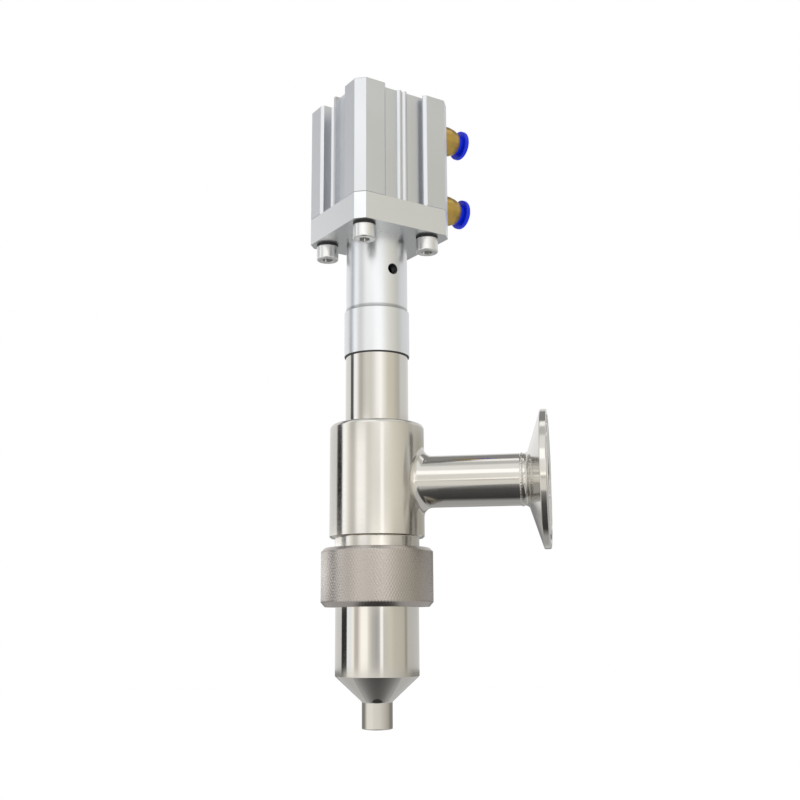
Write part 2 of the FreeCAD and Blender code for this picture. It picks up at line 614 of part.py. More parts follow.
def block_corners():
    """The bevelled rectangle of plate and barrel: corner formulas, anticlockwise from the port side."""
    side, port, cut = "block_half_width", "block_port_reach", "block_chamfer"
    return [
        (port, f"-({side}) + {cut}"),
        (port, f"{side} - {cut}"),
        (f"{port} - {cut}", side),
        (f"-({side}) + {cut}", side),
        (f"-({side})", f"{side} - {cut}"),
        (f"-({side})", f"-({side}) + {cut}"),
        (f"-({side}) + {cut}", f"-({side})"),
        (f"{port} - {cut}", f"-({side})"),
    ]


def screw_spots():
    """The four corners of the plate screws' square, as signs."""
    return [(across, along) for across in (-1, 1) for along in (-1, 1)]


def screw_circles(sketch, diameter):
    for across, along in screw_spots():
        circle(sketch, diameter, f"{across} * screw_pitch / 2", f"{along} * screw_pitch / 2")


def adapter_flange():
    """Aluminium collar, tube and plate in one piece, hollow for rod and lock nut, with a leak hole."""
    body = new_body("adapter_flange")
    revolve(body, [
        ("adapter_cavity / 2", "bush_recess"),
        ("spigot_diameter / 2 + thread_clearance", "bush_recess"),
        ("spigot_diameter / 2 + thread_clearance", "0"),
        ("collar_diameter / 2", "0"),
        ("collar_diameter / 2", "collar_length - collar_step"),
        ("collar_diameter / 2 - collar_step", "collar_length"),
        ("adapter_tube_diameter / 2", "collar_length"),
        ("adapter_tube_diameter / 2", "plate_foot_local"),
        ("adapter_cavity / 2", "plate_foot_local"),
    ])
    plate = new_sketch(body, "XY_Plane", "plate_foot_local")
    polygon(plate, block_corners())
    circle(plate, "adapter_cavity")
    screw_circles(plate, "screw_hole")
    extrude(body, plate, "plate_thickness")
    hole = new_sketch(body, "XZ_Plane")
    circle(hole, "leak_hole", "0", "collar_length + leak_hole_rise")
    extrude(body, hole, "adapter_tube_diameter", "Pocket", reverse=True)
    keep(body, "adapter_flange", place(size("collar_foot"), size("actuator_turn")))


def recess_edge(side, floor, shift):
    """One edge of a recess: the bevelled lip, the undercut behind it, and the wall down to the floor."""
    wall = f"{side} * recess_half_width + {shift}"
    return [
        (f"{wall} + {side} * recess_bevel", "0"),
        (wall, "recess_bevel"),
        (wall, "recess_bevel + lip_thickness"),
        (f"{wall} + {side} * lip_reach", "recess_bevel + lip_thickness"),
        (f"{wall} + {side} * lip_reach", floor),
    ]


def half_recess(side):
    """Half of a recess beside the port side, from its edge to the middle, with one bevelled rib."""
    return recess_edge(side, "recess_depth", "recess_offset") + [
        (f"{side} * (rib_outer + rib_bevel) + recess_offset", "recess_depth"),
        (f"{side} * (rib_outer + rib_bevel) + recess_offset", "rib_depth + rib_bevel"),
        (f"{side} * rib_outer + recess_offset", "rib_depth"),
        (f"{side} * rib_inner + recess_offset", "rib_depth"),
        (f"{side} * (rib_inner - rib_bevel) + recess_offset", "rib_depth + rib_bevel"),
    ]


def left_recess():
    """The recess opposite the ports, from rear to front: deep half with a bevelled foot, single rib."""
    wall = "-(recess_half_width)"
    return [
        (f"{wall} - recess_bevel", "0"),
        (wall, "recess_bevel"),
        (wall, "left_recess_depth - left_foot_bevel"),
        (f"{wall} + left_foot_bevel", "left_recess_depth"),
        ("-(left_rib_rear)", "left_recess_depth"),
        ("-(left_rib_rear)", "left_rib_depth"),
        ("left_rib_front", "left_rib_depth"),
        ("left_rib_front", "recess_depth"),
    ] + recess_edge(1, "recess_depth", "0")[::-1]


def is_block_end_edge(edge):
    """A straight edge of the barrel's end faces that lies on the block's plain outside."""
    if edge.Curve.TypeId != "Part::GeomLine" or edge.Length < size("recess_bevel") * 2:
        return False
    ends = [vertex.Point for vertex in edge.Vertexes]
    levels = {round(point.z, 4) for point in ends}
    if levels not in ({0.0}, {round(size("barrel_height"), 4)}):
        return False
    half, port = size("block_half_width"), size("block_port_reach")
    middle = (ends[0] + ends[1]) / 2
    on_side = abs(abs(middle.y) - half) < 1e-4 or abs(middle.x + half) < 1e-4 or abs(middle.x - port) < 1e-4
    return on_side or abs(abs(ends[0].x - ends[1].x) - size("block_chamfer")) < 1e-4


def cylinder_barrel():
    """Extruded barrel: bevelled block with three recessed sides, bore, cover seats, ports and screw holes."""
    body = new_body("cylinder_barrel")
    corners = block_corners()
    recess = half_recess(-1) + half_recess(1)[::-1]
    front = [(along, f"-(block_half_width) + {depth}") for along, depth in recess]
    rear = [(along, f"block_half_width - ({depth})") for along, depth in recess[::-1]]
    left = [(f"-(block_half_width) + {depth}", f"-({along})") for along, depth in left_recess()]
    outline = corners[:3] + rear + corners[3:5] + left + corners[5:7] + front + corners[7:]
    section = new_sketch(body, "XY_Plane")
    polygon(section, outline)
    extrude(body, section, "barrel_height")
    pad_sketch = new_sketch(body, "YZ_Plane", "block_port_reach - block_chamfer")
    low, high = "barrel_height / 2 - pad_height / 2", "barrel_height / 2 + pad_height / 2"
    polygon(pad_sketch, [("-pad_width / 2", low), ("pad_width / 2", low), ("pad_width / 2", high),
                         ("-pad_width / 2", high)])
    extrude(body, pad_sketch, "block_chamfer + pad_proud")
    dress(body, "Chamfer", "block_edge", is_block_end_edge)
    bore, seat, groove = "cylinder_bore / 2", "cover_bore / 2", "cover_bore / 2 + ring_depth"
    front_low, front_high = "front_ring_inset", "front_ring_inset + ring_thickness + ring_slack"
    rear_high = "barrel_height - rear_ring_inset"
    rear_low = f"{rear_high} - ring_thickness - ring_slack"
    revolve(body, [
        ("0", "0"),
        (seat, "0"),
        (seat, front_low), (groove, front_low), (groove, front_high), (seat, front_high),
        (seat, "front_shoulder"),
        (bore, "front_shoulder"),
        (bore, "barrel_height - rear_shoulder"),
        (seat, "barrel_height - rear_shoulder"),
        (seat, rear_low), (groove, rear_low), (groove, rear_high), (seat, rear_high),
        (seat, "barrel_height"),
        ("0", "barrel_height"),
    ], "Groove")
    tapped = new_sketch(body, "XY_Plane")
    screw_circles(tapped, "screw_diameter")
    extrude(body, tapped, "screw_grip + tap_reserve", "Pocket", reverse=True)
    back = new_sketch(body, "XY_Plane", "barrel_height")
    screw_circles(back, "rear_hole_diameter")
    extrude(body, back, "rear_hole_depth", "Pocket")
    core = new_sketch(body, "XY_Plane")
    screw_circles(core, "core_hole")
    extrude(body, core, "barrel_height", "Pocket", reverse=True)
    for level in ("front_port_rise", "barrel_height - rear_port_drop"):
        passage = new_sketch(body, "YZ_Plane")
        circle(passage, "port_passage", "0", level)
        extrude(body, passage, "block_port_reach", "Pocket", reverse=True)
        thread = new_sketch(body, "YZ_Plane", "block_port_reach")
        circle(thread, "port_thread", "0", level)
        extrude(body, thread, "port_thread_depth", "Pocket")
    keep(body, "cylinder_barrel", place(size("barrel_foot"), size("actuator_turn")))


def retaining_ring(label, height):
    """Internal retaining ring: an open band with two drilled lugs beside its gap."""
    def cylinder(name, radius, angle=0.0, out=0.0):
        item = document.addObject("Part::Cylinder", f"{label}_{name}")
        bind(item, Radius=radius, Height="ring_thickness")
        item.Placement = place(0, angle, out)
        return item
    outer = cylinder("outer", "cover_bore / 2 + ring_depth - ring_slack")
    inner = cylinder("inner", "cover_bore / 2 + ring_depth - ring_slack - ring_band")
    band = boolean("Cut", f"{label}_band", outer, inner)
    out = size("cover_bore") / 2 + size("ring_depth") - size("ring_band") - size("ring_lug") / 2
    spread = math.degrees(2 * size("ring_lug") / out)
    solid = band
    for side, angle in (("left", spread), ("right", -spread)):
        solid = boolean("Fuse", f"{label}_{side}", solid, cylinder(f"{side}_lug", "ring_lug", angle, out))
    for side, angle in (("left", spread), ("right", -spread)):
        solid = boolean("Cut", f"{label}_{side}_drilled", solid,
                        cylinder(f"{side}_hole", "ring_lug_hole", angle, out))
    gap = document.addObject("Part::Box", f"{label}_gap")
    bind(gap, Length="cover_bore", Width="2 * ring_lug", Height="ring_thickness")
    gap.Placement = FreeCAD.Placement(FreeCAD.Vector(0, -size("ring_lug"), 0), FreeCAD.Rotation())
    keep(boolean("Cut", f"{label}_open", solid, gap), label, place(height, size("actuator_turn") + 180))


def covers():
    """Front and rear covers with their seals, rod bush and retaining rings."""
    turn = size("actuator_turn")
    seat = "cover_bore / 2 - cover_clearance"
    rod_hole = "rod_diameter / 2 + rod_play"
    seal_floor = f"{seat} - cover_seal_section"
    seal_low = "front_flange_thickness / 2 - cover_seal_section / 2 - seal_play"
    seal_high = "front_flange_thickness / 2 + cover_seal_section / 2 + seal_play"
    gland_low = "rod_bush_length + seal_land"
    gland_high = f"{gland_low} + rod_seal_section + 2 * seal_play"
    gland = f"{rod_hole} + rod_seal_section + seal_play"
    bush_seat = f"{rod_hole} + rod_bush_wall"
    front_height = "front_flange_thickness + front_nose_height"
    turned("front_cover", [
        (bush_seat, "0"),
        (seat, "0"),
        (seat, seal_low), (seal_floor, seal_low), (seal_floor, seal_high), (seat, seal_high),
        (seat, "front_flange_thickness"),
        ("nose_diameter / 2", "front_flange_thickness"),
        ("nose_diameter / 2", front_height),
        (rod_hole, front_height),
        (rod_hole, gland_high), (gland, gland_high), (gland, gland_low), (rod_hole, gland_low),
        (rod_hole, "rod_bush_length"),
        (bush_seat, "rod_bush_length"),
    ], place(size("barrel_foot") + size("front_ring_inset") + size("ring_thickness"), turn))
    foot = size("barrel_foot") + size("front_ring_inset") + size("ring_thickness")
    turned("rod_bush", [
        (rod_hole, "0"), (bush_seat, "0"), (bush_seat, "rod_bush_length"), (rod_hole, "rod_bush_length"),
    ], place(foot, turn))
    gland_foot = foot + size("rod_bush_length") + size("seal_land") + size("seal_play")
    gland_middle = gland_foot + size("rod_seal_section") / 2
    cord_ring("rod_seal", f"{rod_hole} + rod_seal_section / 2", "rod_seal_section", place(gland_middle))
    cord_ring("front_cover_seal", f"{seat} - cover_seal_section / 2 - seal_play / 2",
              "cover_seal_section - seal_play", place(foot + size("front_flange_thickness") / 2))
    retaining_ring("front_retaining_ring", size("barrel_foot") + size("front_ring_inset"))
    top = size("barrel_top") - size("rear_ring_inset")
    turned("rear_cover", [
        ("0", "0"),
        ("nose_diameter / 2", "0"),
        ("nose_diameter / 2", "rear_nose_height"),
        (seat, "rear_nose_height"),
        (seat, "rear_nose_height + rear_flange_thickness"),
        ("0", "rear_nose_height + rear_flange_thickness"),
    ], place(size("barrel_top") - size("rear_stop"), turn))
    turned("rear_cover_gasket", [
        ("cylinder_bore / 2", "0"), (seat, "0"), (seat, "rear_gasket_thickness"),
        ("cylinder_bore / 2", "rear_gasket_thickness"),
    ], place(size("barrel_top") - size("rear_shoulder")))
    retaining_ring("rear_retaining_ring", top - size("ring_thickness"))


def piston_group():
    """Piston with its seal and ring magnet, the screw that holds it, and the hollow-ended rod."""
    foot = size("piston_foot")
    skirt = "cylinder_bore / 2 - piston_clearance"
    seal_floor = f"{skirt} - piston_seal_section"
    seal_high = "piston_seal_rise + piston_seal_section + 2 * seal_play"
    magnet_floor = f"{skirt} - magnet_depth"
    magnet_high = "magnet_rise + magnet_height"
    register = "rod_diameter / 2 + thread_clearance"
    shank = "piston_screw_diameter / 2 + thread_clearance"
    head = "piston_screw_head / 2 + thread_clearance"
    head_seat = "piston_length - piston_screw_head_height"
    turned("piston", [
        (shank, "rod_register"),
        (register, "rod_register"),
        (register, "0"),
        (skirt, "0"),
        (skirt, "piston_seal_rise"), (seal_floor, "piston_seal_rise"),
        (seal_floor, seal_high), (skirt, seal_high),
        (skirt, "magnet_rise"), (magnet_floor, "magnet_rise"),
        (magnet_floor, magnet_high), (skirt, magnet_high),
        (skirt, "piston_length"),
        (head, "piston_length"),
        (head, head_seat),
        (shank, head_seat),
    ], place(foot))
    seal_middle = foot + size("piston_seal_rise") + size("piston_seal_section") / 2 + size("seal_play")
    cord_ring("piston_seal", f"{skirt} - piston_seal_section / 2 + seal_play / 2",
              "piston_seal_section - seal_play", place(seal_middle))
    turned("piston_magnet", [
        (f"{magnet_floor} + thread_clearance", "0"), (f"{skirt} - piston_clearance", "0"),
        (f"{skirt} - piston_clearance", "magnet_height - seal_play"),
        (f"{magnet_floor} + thread_clearance", "magnet_height - seal_play"),
    ], place(foot + size("magnet_rise")))
    thread_foot = "rod_length - piston_screw_grip"
    turned("piston_rod", [
        ("stud_diameter / 2 + thread_clearance", "0"),
        ("rod_diameter / 2 - stem_play * 8", "0"),
        ("rod_diameter / 2", "stem_play * 8"),
        ("rod_diameter / 2", "rod_length"),
        (shank, "rod_length"),
        (shank, thread_foot),
        ("0", thread_foot),
        ("0", "stud_length + 1"),
        ("stud_diameter / 2 + thread_clearance", "stud_length + 1"),
    ], place(size("rod_end")))
    screw_reach = "piston_screw_grip - 1 + piston_length - piston_screw_head_height - rod_register"
    turned_screw = new_body("piston_screw_blank")
    revolve(turned_screw, [
        ("0", "0"),
        ("piston_screw_diameter / 2", "0"),
        ("piston_screw_diameter / 2", screw_reach),
        ("piston_screw_head / 2", screw_reach),
        ("piston_screw_head / 2", f"{screw_reach} + piston_screw_head_height"),
        ("0", f"{screw_reach} + piston_screw_head_height"),
    ])
    socket = hexagon("piston_screw_socket", "screw_socket", "piston_screw_head_height", f"{screw_reach} + 1")
    screw = boolean("Cut", "piston_screw_cut", turned_screw, socket)
    keep(screw, "piston_screw", place(foot + size("rod_register") + 1 - size("piston_screw_grip")))


def valve_group():
    """Stem with a thread at both ends, lock nut under the rod, plug with its seal on the seat."""
    upper = "stem_shoulder - stem_foot"
    turned("valve_stem", [
        ("0", "0"),
        ("plug_stud_diameter / 2", "0"),
        ("plug_stud_diameter / 2", "plug_stud_length"),
        ("stem_diameter / 2", "plug_stud_length"),
        ("stem_diameter / 2", upper),
        ("stud_diameter / 2", upper),
        ("stud_diameter / 2", f"{upper} + lock_nut_height + stud_length"),
        ("0", f"{upper} + lock_nut_height + stud_length"),
    ], place(size("stem_foot")))
    across = "lock_nut_flats / sqrt(3)"
    bevel = "(lock_nut_flats / sqrt(3) - lock_nut_flats / 2) / sqrt(3)"
    blank = new_body("lock_nut_blank")
    revolve(blank, [
        ("stud_diameter / 2 + thread_clearance", "0"),
        ("lock_nut_flats / 2", "0"),
        (across, bevel),
        (across, f"lock_nut_height - ({bevel})"),
        ("lock_nut_flats / 2", "lock_nut_height"),
        ("stud_diameter / 2 + thread_clearance", "lock_nut_height"),
    ])
    flats = hexagon("lock_nut_flats_form", "lock_nut_flats", "lock_nut_height")
    keep(boolean("Common", "lock_nut_form", blank, flats), "stem_lock_nut", place(size("stem_shoulder")))
    plug = new_body("plug_blank")
    revolve(plug, [
        ("0", "0"),
        ("plug_nose_radius", "0"),
        ("plug_diameter / 2", "plug_cone_height"),
        ("plug_diameter / 2", "plug_cone_height + plug_barrel"),
        ("plug_neck / 2", "plug_height"),
        ("plug_stud_diameter / 2 + thread_clearance", "plug_height"),
        ("plug_stud_diameter / 2 + thread_clearance", "plug_height - plug_stud_length - thread_clearance"),
        ("0", "plug_height - plug_stud_length - thread_clearance"),
    ])
    groove = torus("plug_groove", "plug_seal_radius", "plug_seal_section + seal_play", "plug_seal_rise")
    keep(boolean("Cut", "grooved_plug", plug, groove), "valve_plug", place(size("plug_foot")))
    cord_ring("plug_seal", "plug_seal_radius", "plug_seal_section",
              place(size("plug_foot") + size("plug_seal_rise")))


def flange_fasteners():
    """Four socket head cap screws from below, each with a split spring washer under its head."""
    head = "screw_head_height"
    blank = new_body("flange_screw_blank")
    revolve(blank, [
        ("0", "0"),
        ("screw_head_diameter / 2 - screw_head_edge", "0"),
        ("screw_head_diameter / 2", "screw_head_edge"),
        ("screw_head_diameter / 2", head),
        ("screw_diameter / 2 - screw_clearance", head),
        ("screw_diameter / 2 - screw_clearance", f"{head} + screw_length"),
        ("0", f"{head} + screw_length"),
    ])
    socket = hexagon("flange_screw_socket", "screw_socket", "screw_socket_depth")
    screw = boolean("Cut", "flange_screw_form", blank, socket)
    washer = new_body("spring_washer_blank")
    revolve(washer, tube("washer_diameter", "screw_diameter + 2 * screw_clearance", "washer_thickness"))
    split = document.addObject("Part::Box", "spring_washer_split")
    bind(split, Length="washer_diameter", Width="washer_slot", Height="washer_thickness * 4")
    tilt = FreeCAD.Rotation(FreeCAD.Vector(1, 0, 0), -size("washer_split_tilt"))
    corner = FreeCAD.Vector(0, -size("washer_slot") / 2, -size("washer_thickness"))
    split.Placement = FreeCAD.Placement(corner, tilt)
    washer = boolean("Cut", "spring_washer_form", washer, split)
    foot = size("plate_foot") - size("washer_thickness") - size("screw_head_height")
    for label, form, height in (("flange_screws", screw, foot),
                                ("spring_washers", washer, foot + size("screw_head_height"))):
        copies = []
        for number, (across, along) in enumerate(screw_spots()):
            copy = document.addObject("App::Link", f"{label}_{number}")
            copy.LinkedObject = form
            corner = FreeCAD.Vector(across * size("screw_pitch") / 2, along * size("screw_pitch") / 2, 0)
            angle = size("screw_turn_step") * number + size("screw_first_turn")
            copy.Placement = FreeCAD.Placement(corner, FreeCAD.Rotation(UP, angle))
            copies.append(copy)
        group = document.addObject("Part::Compound", label)
        group.Links = copies
        document.recompute()
        keep(group, label, place(height, size("actuator_turn")))


def tube_fitting(side, level):
    """Push-in fitting for an air tube: gasket, brass body, tube seal, grab ring and release collar."""
    turn = size("actuator_turn")
    reach = size("block_port_reach")

    def spot(out):
        return place(level, turn, reach + out, lie=True)

    turned(f"{side}_thread_gasket", tube("fitting_gasket_diameter", "port_thread + 2 * screw_clearance",
                                         "fitting_gasket_thickness"), spot(0))
    thread = "port_thread / 2 - screw_clearance"
    corner = "fitting_flats / sqrt(3)"
    base = "fitting_thread_length + fitting_gasket_thickness"
    end = f"{base} + fitting_length"
    socket = f"{base} + tube_stop"
    cartridge = f"{socket} + tube_seat_length"
    blank = new_body(f"{side}_fitting_blank")
    revolve(blank, [
        ("fitting_passage / 2", "0"),
        (thread, "0"),
        (thread, base),
        (f"{corner} - fitting_bevel", base),
        (corner, f"{base} + fitting_bevel / 2"),
        (corner, f"{end} - fitting_taper_length"),
        (f"{corner} - fitting_taper / 3", f"{end} - fitting_taper_length / 2"),
        (f"{corner} - fitting_taper", end),
        ("cartridge_bore / 2", end),
        ("cartridge_bore / 2", cartridge),
        ("tube_diameter / 2", cartridge),
        ("tube_diameter / 2", socket),
        ("fitting_passage / 2", socket),
    ])
    tip = size("fitting_thread_length") + size("fitting_gasket_thickness") + size("fitting_length")
    crest = size("fitting_flats") / math.sqrt(3)
    for radius, back in ((crest, 1), (crest - size("fitting_taper") / 3, 0.5)):
        height = tip - back * size("fitting_taper_length")
        dress(blank, "Fillet", "fitting_taper_blend",
              lambda edge, radius=radius, height=height: is_ring(edge, radius, height))
    flats = hexagon(f"{side}_fitting_flats", "fitting_flats", f"{base} + fitting_flats_length")
    head = document.addObject("Part::Cylinder", f"{side}_fitting_head")
    bind(head, Radius="fitting_flats", Height="fitting_length - fitting_flats_length")
    head.Placement = place(tip - size("fitting_length") + size("fitting_flats_length"))
    outline = boolean("Fuse", f"{side}_fitting_outline", flats, head)
    keep(boolean("Common", f"{side}_fitting_form", blank, outline), f"{side}_fitting_body",
         spot(-size("fitting_thread_length")))
    seal_start = size("fitting_gasket_thickness") + size("tube_stop") + size("tube_seat_length")
    cord_ring(f"{side}_tube_seal", "cartridge_bore / 2 - tube_seal_section / 2 - seal_play",
              "tube_seal_section", spot(seal_start + size("tube_seal_section") / 2 + size("seal_play")))
    turned(f"{side}_grab_ring", [
        ("tube_diameter / 2 + seal_play", "grab_ring_thickness"),
        ("cartridge_bore / 2 - seal_play", "0"),
        ("cartridge_bore / 2 - seal_play", "grab_ring_thickness"),
        ("tube_diameter / 2 + seal_play", "2 * grab_ring_thickness"),
    ], spot(seal_start + size("tube_seal_section") + 2 * size("seal_play")))
    outer_face = size("fitting_gasket_thickness") + size("fitting_length") + size("collar_gap")
    neck = "collar_neck_diameter / 2"
    collar = new_body(f"{side}_release_collar")
    full = "collar_neck_length + collar_flange_thickness"
    revolve(collar, [
        ("tube_diameter / 2 + seal_play", "0"),
        (neck, "0"),
        (neck, "collar_neck_length"),
        ("collar_flange_diameter / 2", "collar_neck_length"),
        ("collar_flange_diameter / 2", full),
        ("tube_diameter / 2 + seal_play", full),
    ])
    for height in (size("collar_neck_length"), size("collar_neck_length") + size("collar_flange_thickness")):
        dress(collar, "Fillet", "collar_edge",
              lambda edge, height=height: is_ring(edge, size("collar_flange_diameter") / 2, height))
    keep(collar, f"{side}_release_collar", spot(outer_face - size("collar_neck_length")))


nozzle_sleeve()
turned("union_gasket", tube("union_gasket_diameter", "sleeve_bore", "union_gasket_thickness"),
       place(size("sleeve_height")))
union_nut()
tee_body()
inlet()
seal_housing()
stem_guide_bush()
turned("adapter_gasket", tube("adapter_gasket_diameter", "spigot_diameter + 2 * thread_clearance",
                              "adapter_gasket_thickness"), place(size("housing_top")))
adapter_flange()
cylinder_barrel()
covers()
piston_group()
valve_group()
flange_fasteners()
tube_fitting("lower", size("front_port_level"))
tube_fitting("upper", size("rear_port_level"))

document.recompute()
for item in document.Objects:
    if "Invalid" in item.State or "Error" in item.State:
        raise RuntimeError(f"{item.Name} is {item.State}")
for piece in pieces:
    if piece.Shape.isNull() or not piece.Shape.isValid():
        raise RuntimeError(f"{piece.Label} has no valid shape")

os.makedirs("parts", exist_ok=True)
for piece in pieces:
    piece.Shape.exportStep(f"parts/{piece.Label}.step")
print(len(pieces), "pieces,", round(size("barrel_top"), 2), "mm tall")
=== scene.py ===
import math

import bpy
import numpy as np
from mathutils import Matrix, Vector


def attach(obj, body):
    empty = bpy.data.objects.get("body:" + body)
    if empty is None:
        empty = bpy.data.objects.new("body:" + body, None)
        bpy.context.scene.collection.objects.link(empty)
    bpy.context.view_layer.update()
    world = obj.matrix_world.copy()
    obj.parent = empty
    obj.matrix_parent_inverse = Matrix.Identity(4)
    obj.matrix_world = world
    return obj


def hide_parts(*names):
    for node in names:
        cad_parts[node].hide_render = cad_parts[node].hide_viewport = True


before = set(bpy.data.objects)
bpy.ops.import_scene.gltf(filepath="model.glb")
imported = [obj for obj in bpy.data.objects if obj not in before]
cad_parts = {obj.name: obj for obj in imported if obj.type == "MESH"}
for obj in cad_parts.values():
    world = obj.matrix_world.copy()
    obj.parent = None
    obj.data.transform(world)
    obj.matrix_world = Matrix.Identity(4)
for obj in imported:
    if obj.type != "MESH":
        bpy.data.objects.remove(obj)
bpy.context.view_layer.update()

# Filling nozzle with an air cylinder, shown from below and slightly to the right of its front.
# Lengths on the object are in millimetres, as on a workshop drawing, and MM makes them metres. The camera's and the
# studio's lengths are in metres.
MM = 0.001

# Camera: where it stands round the valve axis, how far and how high, which way it looks, and its focal length as a
# share of the picture's width.
CAMERA_TURN = math.radians(11.023)
CAMERA_DISTANCE = 0.393769
CAMERA_HEIGHT = 0.037892
CAMERA_PITCH = math.radians(11.63)
CAMERA_YAW = math.radians(1.265)
CAMERA_ROLL = math.radians(-0.325)
CAMERA_FOCAL_SHARE = 1067.155 / 800
CAMERA_SENSOR = 36
CAMERA_NEAREST = 0.01
CAMERA_FARTHEST = 20

# The object: how far the cylinder is turned about the valve axis, in degrees, and the heights of the screws' heads
# and of the inlet's axis.
ACTUATOR_TURN = 42.5
SCREW_FOOT = 175.55
INLET_LEVEL = 87.45

# Knurl: teeth round the nut, teeth up its band, depth of a groove, and grid points to a tooth.
KNURL_TEETH = 120
KNURL_RISES = 9
KNURL_DEPTH = 0.13
KNURL_SAMPLES = 4

# Outlines: points on a corner's arc, the distance of the point beside each of its ends, as a share of the rounding,
# and the angle above which an edge is shaded sharp.
ARC_POINTS = 7
ARC_GUARD = 0.3
SHARP_ANGLE = math.radians(35)

# Surfaces: the span in which the sum of both noises of a pattern mostly lies, the least roughness, and how little a
# die line changes along Z.
NOISE_LOW, NOISE_HIGH = 0.6, 1.4
LEAST_ROUGHNESS = 0.02
DIE_SHARE = 0.004

# Painted shade and painted light: places whose colour is made darker or paler than the rest of their piece, in place
# of shade and light that fall there. Each is a box by its two faces along X (0), Y (1) or Z (2) of the cylinder's own
# frame, the share of the colour there, and the width over which it fades.
# Painted shade: a darker strip on the front of the left recess's rib, for the shadow line there.
RIB_FRONT_PAINTED_SHADE = ({0: (-18.8, -16.9), 1: (-0.6, -0.15)}, 0.8, 0.05)
# Painted light: the near half of the left recess's floor is made paler, against the shade that falls there.
LEFT_RECESS_PAINTED_LIGHT = ({0: (-17.0, -16.6), 1: (-8.6, -0.6)}, 1.2, 0.05)
# Painted shade: a darker band round the adapter at the collar's step, for the shadow line in that corner.
COLLAR_CORNER_PAINTED_SHADE = ({2: (151.9, 154.0)}, 0.58, 0.7)

# Tints of the studio's cloths.
WHITE = (1, 1, 1)
CREAM = (1, 0.985, 0.94)
SAND = (1, 0.965, 0.85)
COOL = (0.97, 1, 1.05)
ROSE = (1, 0.95, 0.91)

# Light tent round the object, seen only in the surfaces that mirror it. Each list goes once round, in degrees from
# the camera, positive to its right, with the brightness and the tint there.
SLEEVE_LIGHT = (
    (-180, 0.25, WHITE), (-164, 0.85, WHITE), (-114, 0.85, WHITE), (-112, 0.04, WHITE), (-91, 0.04, WHITE),
    (-89, 1.25, COOL), (-77, 1.2, COOL), (-70, 1.35, CREAM), (-67, 1.3, ROSE), (-62, 0.72, ROSE),
    (-54, 0.72, ROSE), (-46, 1.35, ROSE), (-41, 1.5, CREAM), (-28, 1.48, CREAM), (-23, 1.07, CREAM),
    (-18, 0.86, CREAM), (-13, 0.7, CREAM), (-2, 0.56, WHITE), (3, 0.62, WHITE), (7, 0.8, WHITE),
    (9, 1.4, WHITE), (15, 1.4, WHITE), (17, 0.82, CREAM), (36, 0.88, SAND), (48, 0.76, SAND),
    (74, 0.7, SAND), (80, 0.6, SAND), (84, 0.4, SAND), (92, 0.7, CREAM), (125, 0.72, WHITE),
    (167, 0.72, WHITE), (180, 0.15, WHITE),
)
NUT_LIGHT = (
    (-180, 0.25, WHITE), (-167, 0.27, WHITE), (-152, 2.2, WHITE), (-112, 2.2, WHITE), (-100, 1.1, WHITE),
    (-80, 1.05, WHITE), (-66, 0.75, CREAM), (-34, 0.7, CREAM), (-22, 1.0, WHITE), (-12, 2.0, ROSE),
    (20, 2.1, ROSE), (30, 1.3, CREAM), (40, 0.5, CREAM), (75, 0.35, CREAM), (110, 0.5, WHITE),
    (155, 0.5, WHITE), (168, 0.25, WHITE), (180, 0.25, WHITE),
)
TEE_LIGHT = (
    (-180, 0.9, WHITE), (-113, 0.9, WHITE), (-111, 0.02, WHITE), (-93, 0.02, WHITE), (-90, 1.6, COOL),
    (-80, 1.5, CREAM), (-72, 1.05, CREAM), (-65, 0.8, CREAM), (-57, 0.8, CREAM), (-49, 1.35, WHITE),
    (-45, 1.55, WHITE), (-30, 1.45, WHITE), (-24, 1.05, CREAM), (-18, 1.0, CREAM), (-8, 1.1, CREAM),
    (7, 1.12, CREAM), (9, 1.55, WHITE), (15, 1.55, WHITE), (17, 1.1, CREAM), (36, 1.02, SAND),
    (60, 0.84, SAND), (75, 0.72, SAND), (90, 0.6, SAND), (120, 0.5, SAND), (180, 0.58, WHITE),
)
NECK_LIGHT = (
    (-180, 1.0, WHITE), (-113, 1.0, WHITE), (-109, 0.15, WHITE), (-96, 0.15, WHITE), (-92, 1.3, COOL),
    (-82, 1.4, COOL), (-76, 1.25, CREAM), (-66, 0.72, ROSE), (-58, 0.64, ROSE), (-48, 0.82, CREAM),
    (-38, 0.95, CREAM), (-20, 0.95, CREAM), (-10, 1.1, WHITE), (0, 1.35, WHITE), (14, 1.5, WHITE),
    (26, 1.2, CREAM), (40, 0.9, SAND), (60, 0.82, SAND), (76, 0.68, SAND), (86, 0.64, CREAM),
    (98, 0.85, WHITE), (180, 0.9, WHITE),
)
BARREL_LIGHT = (
    (-180, 0.95, WHITE), (-113, 0.92, WHITE), (-109, 0.15, WHITE), (-96, 0.15, WHITE), (-92, 1.2, COOL),
    (-82, 1.25, COOL), (-62, 0.75, WHITE), (-52, 0.8, WHITE), (-44, 1.6, WHITE), (-4, 1.6, WHITE),
    (4, 0.95, WHITE), (30, 0.88, CREAM), (60, 0.78, SAND), (76, 0.64, SAND), (86, 0.64, CREAM),
    (98, 0.8, WHITE), (180, 0.85, WHITE),
)
SKIRT_LIGHT = (
    (-180, 0.31, CREAM), (-110, 0.31, CREAM), (-80, 1.1, CREAM), (-40, 1.1, CREAM), (-28, 1.0, CREAM),
    (18, 0.92, CREAM), (90, 0.54, SAND), (110, 0.31, CREAM), (180, 0.31, CREAM),
)
# The collar's and the adapter tube's light is the neck's without its darkest gap.
COLLAR_LEAST = 0.5
COLLAR_LIGHT = tuple((degrees, max(bright, COLLAR_LEAST), tint) for degrees, bright, tint in NECK_LIGHT)

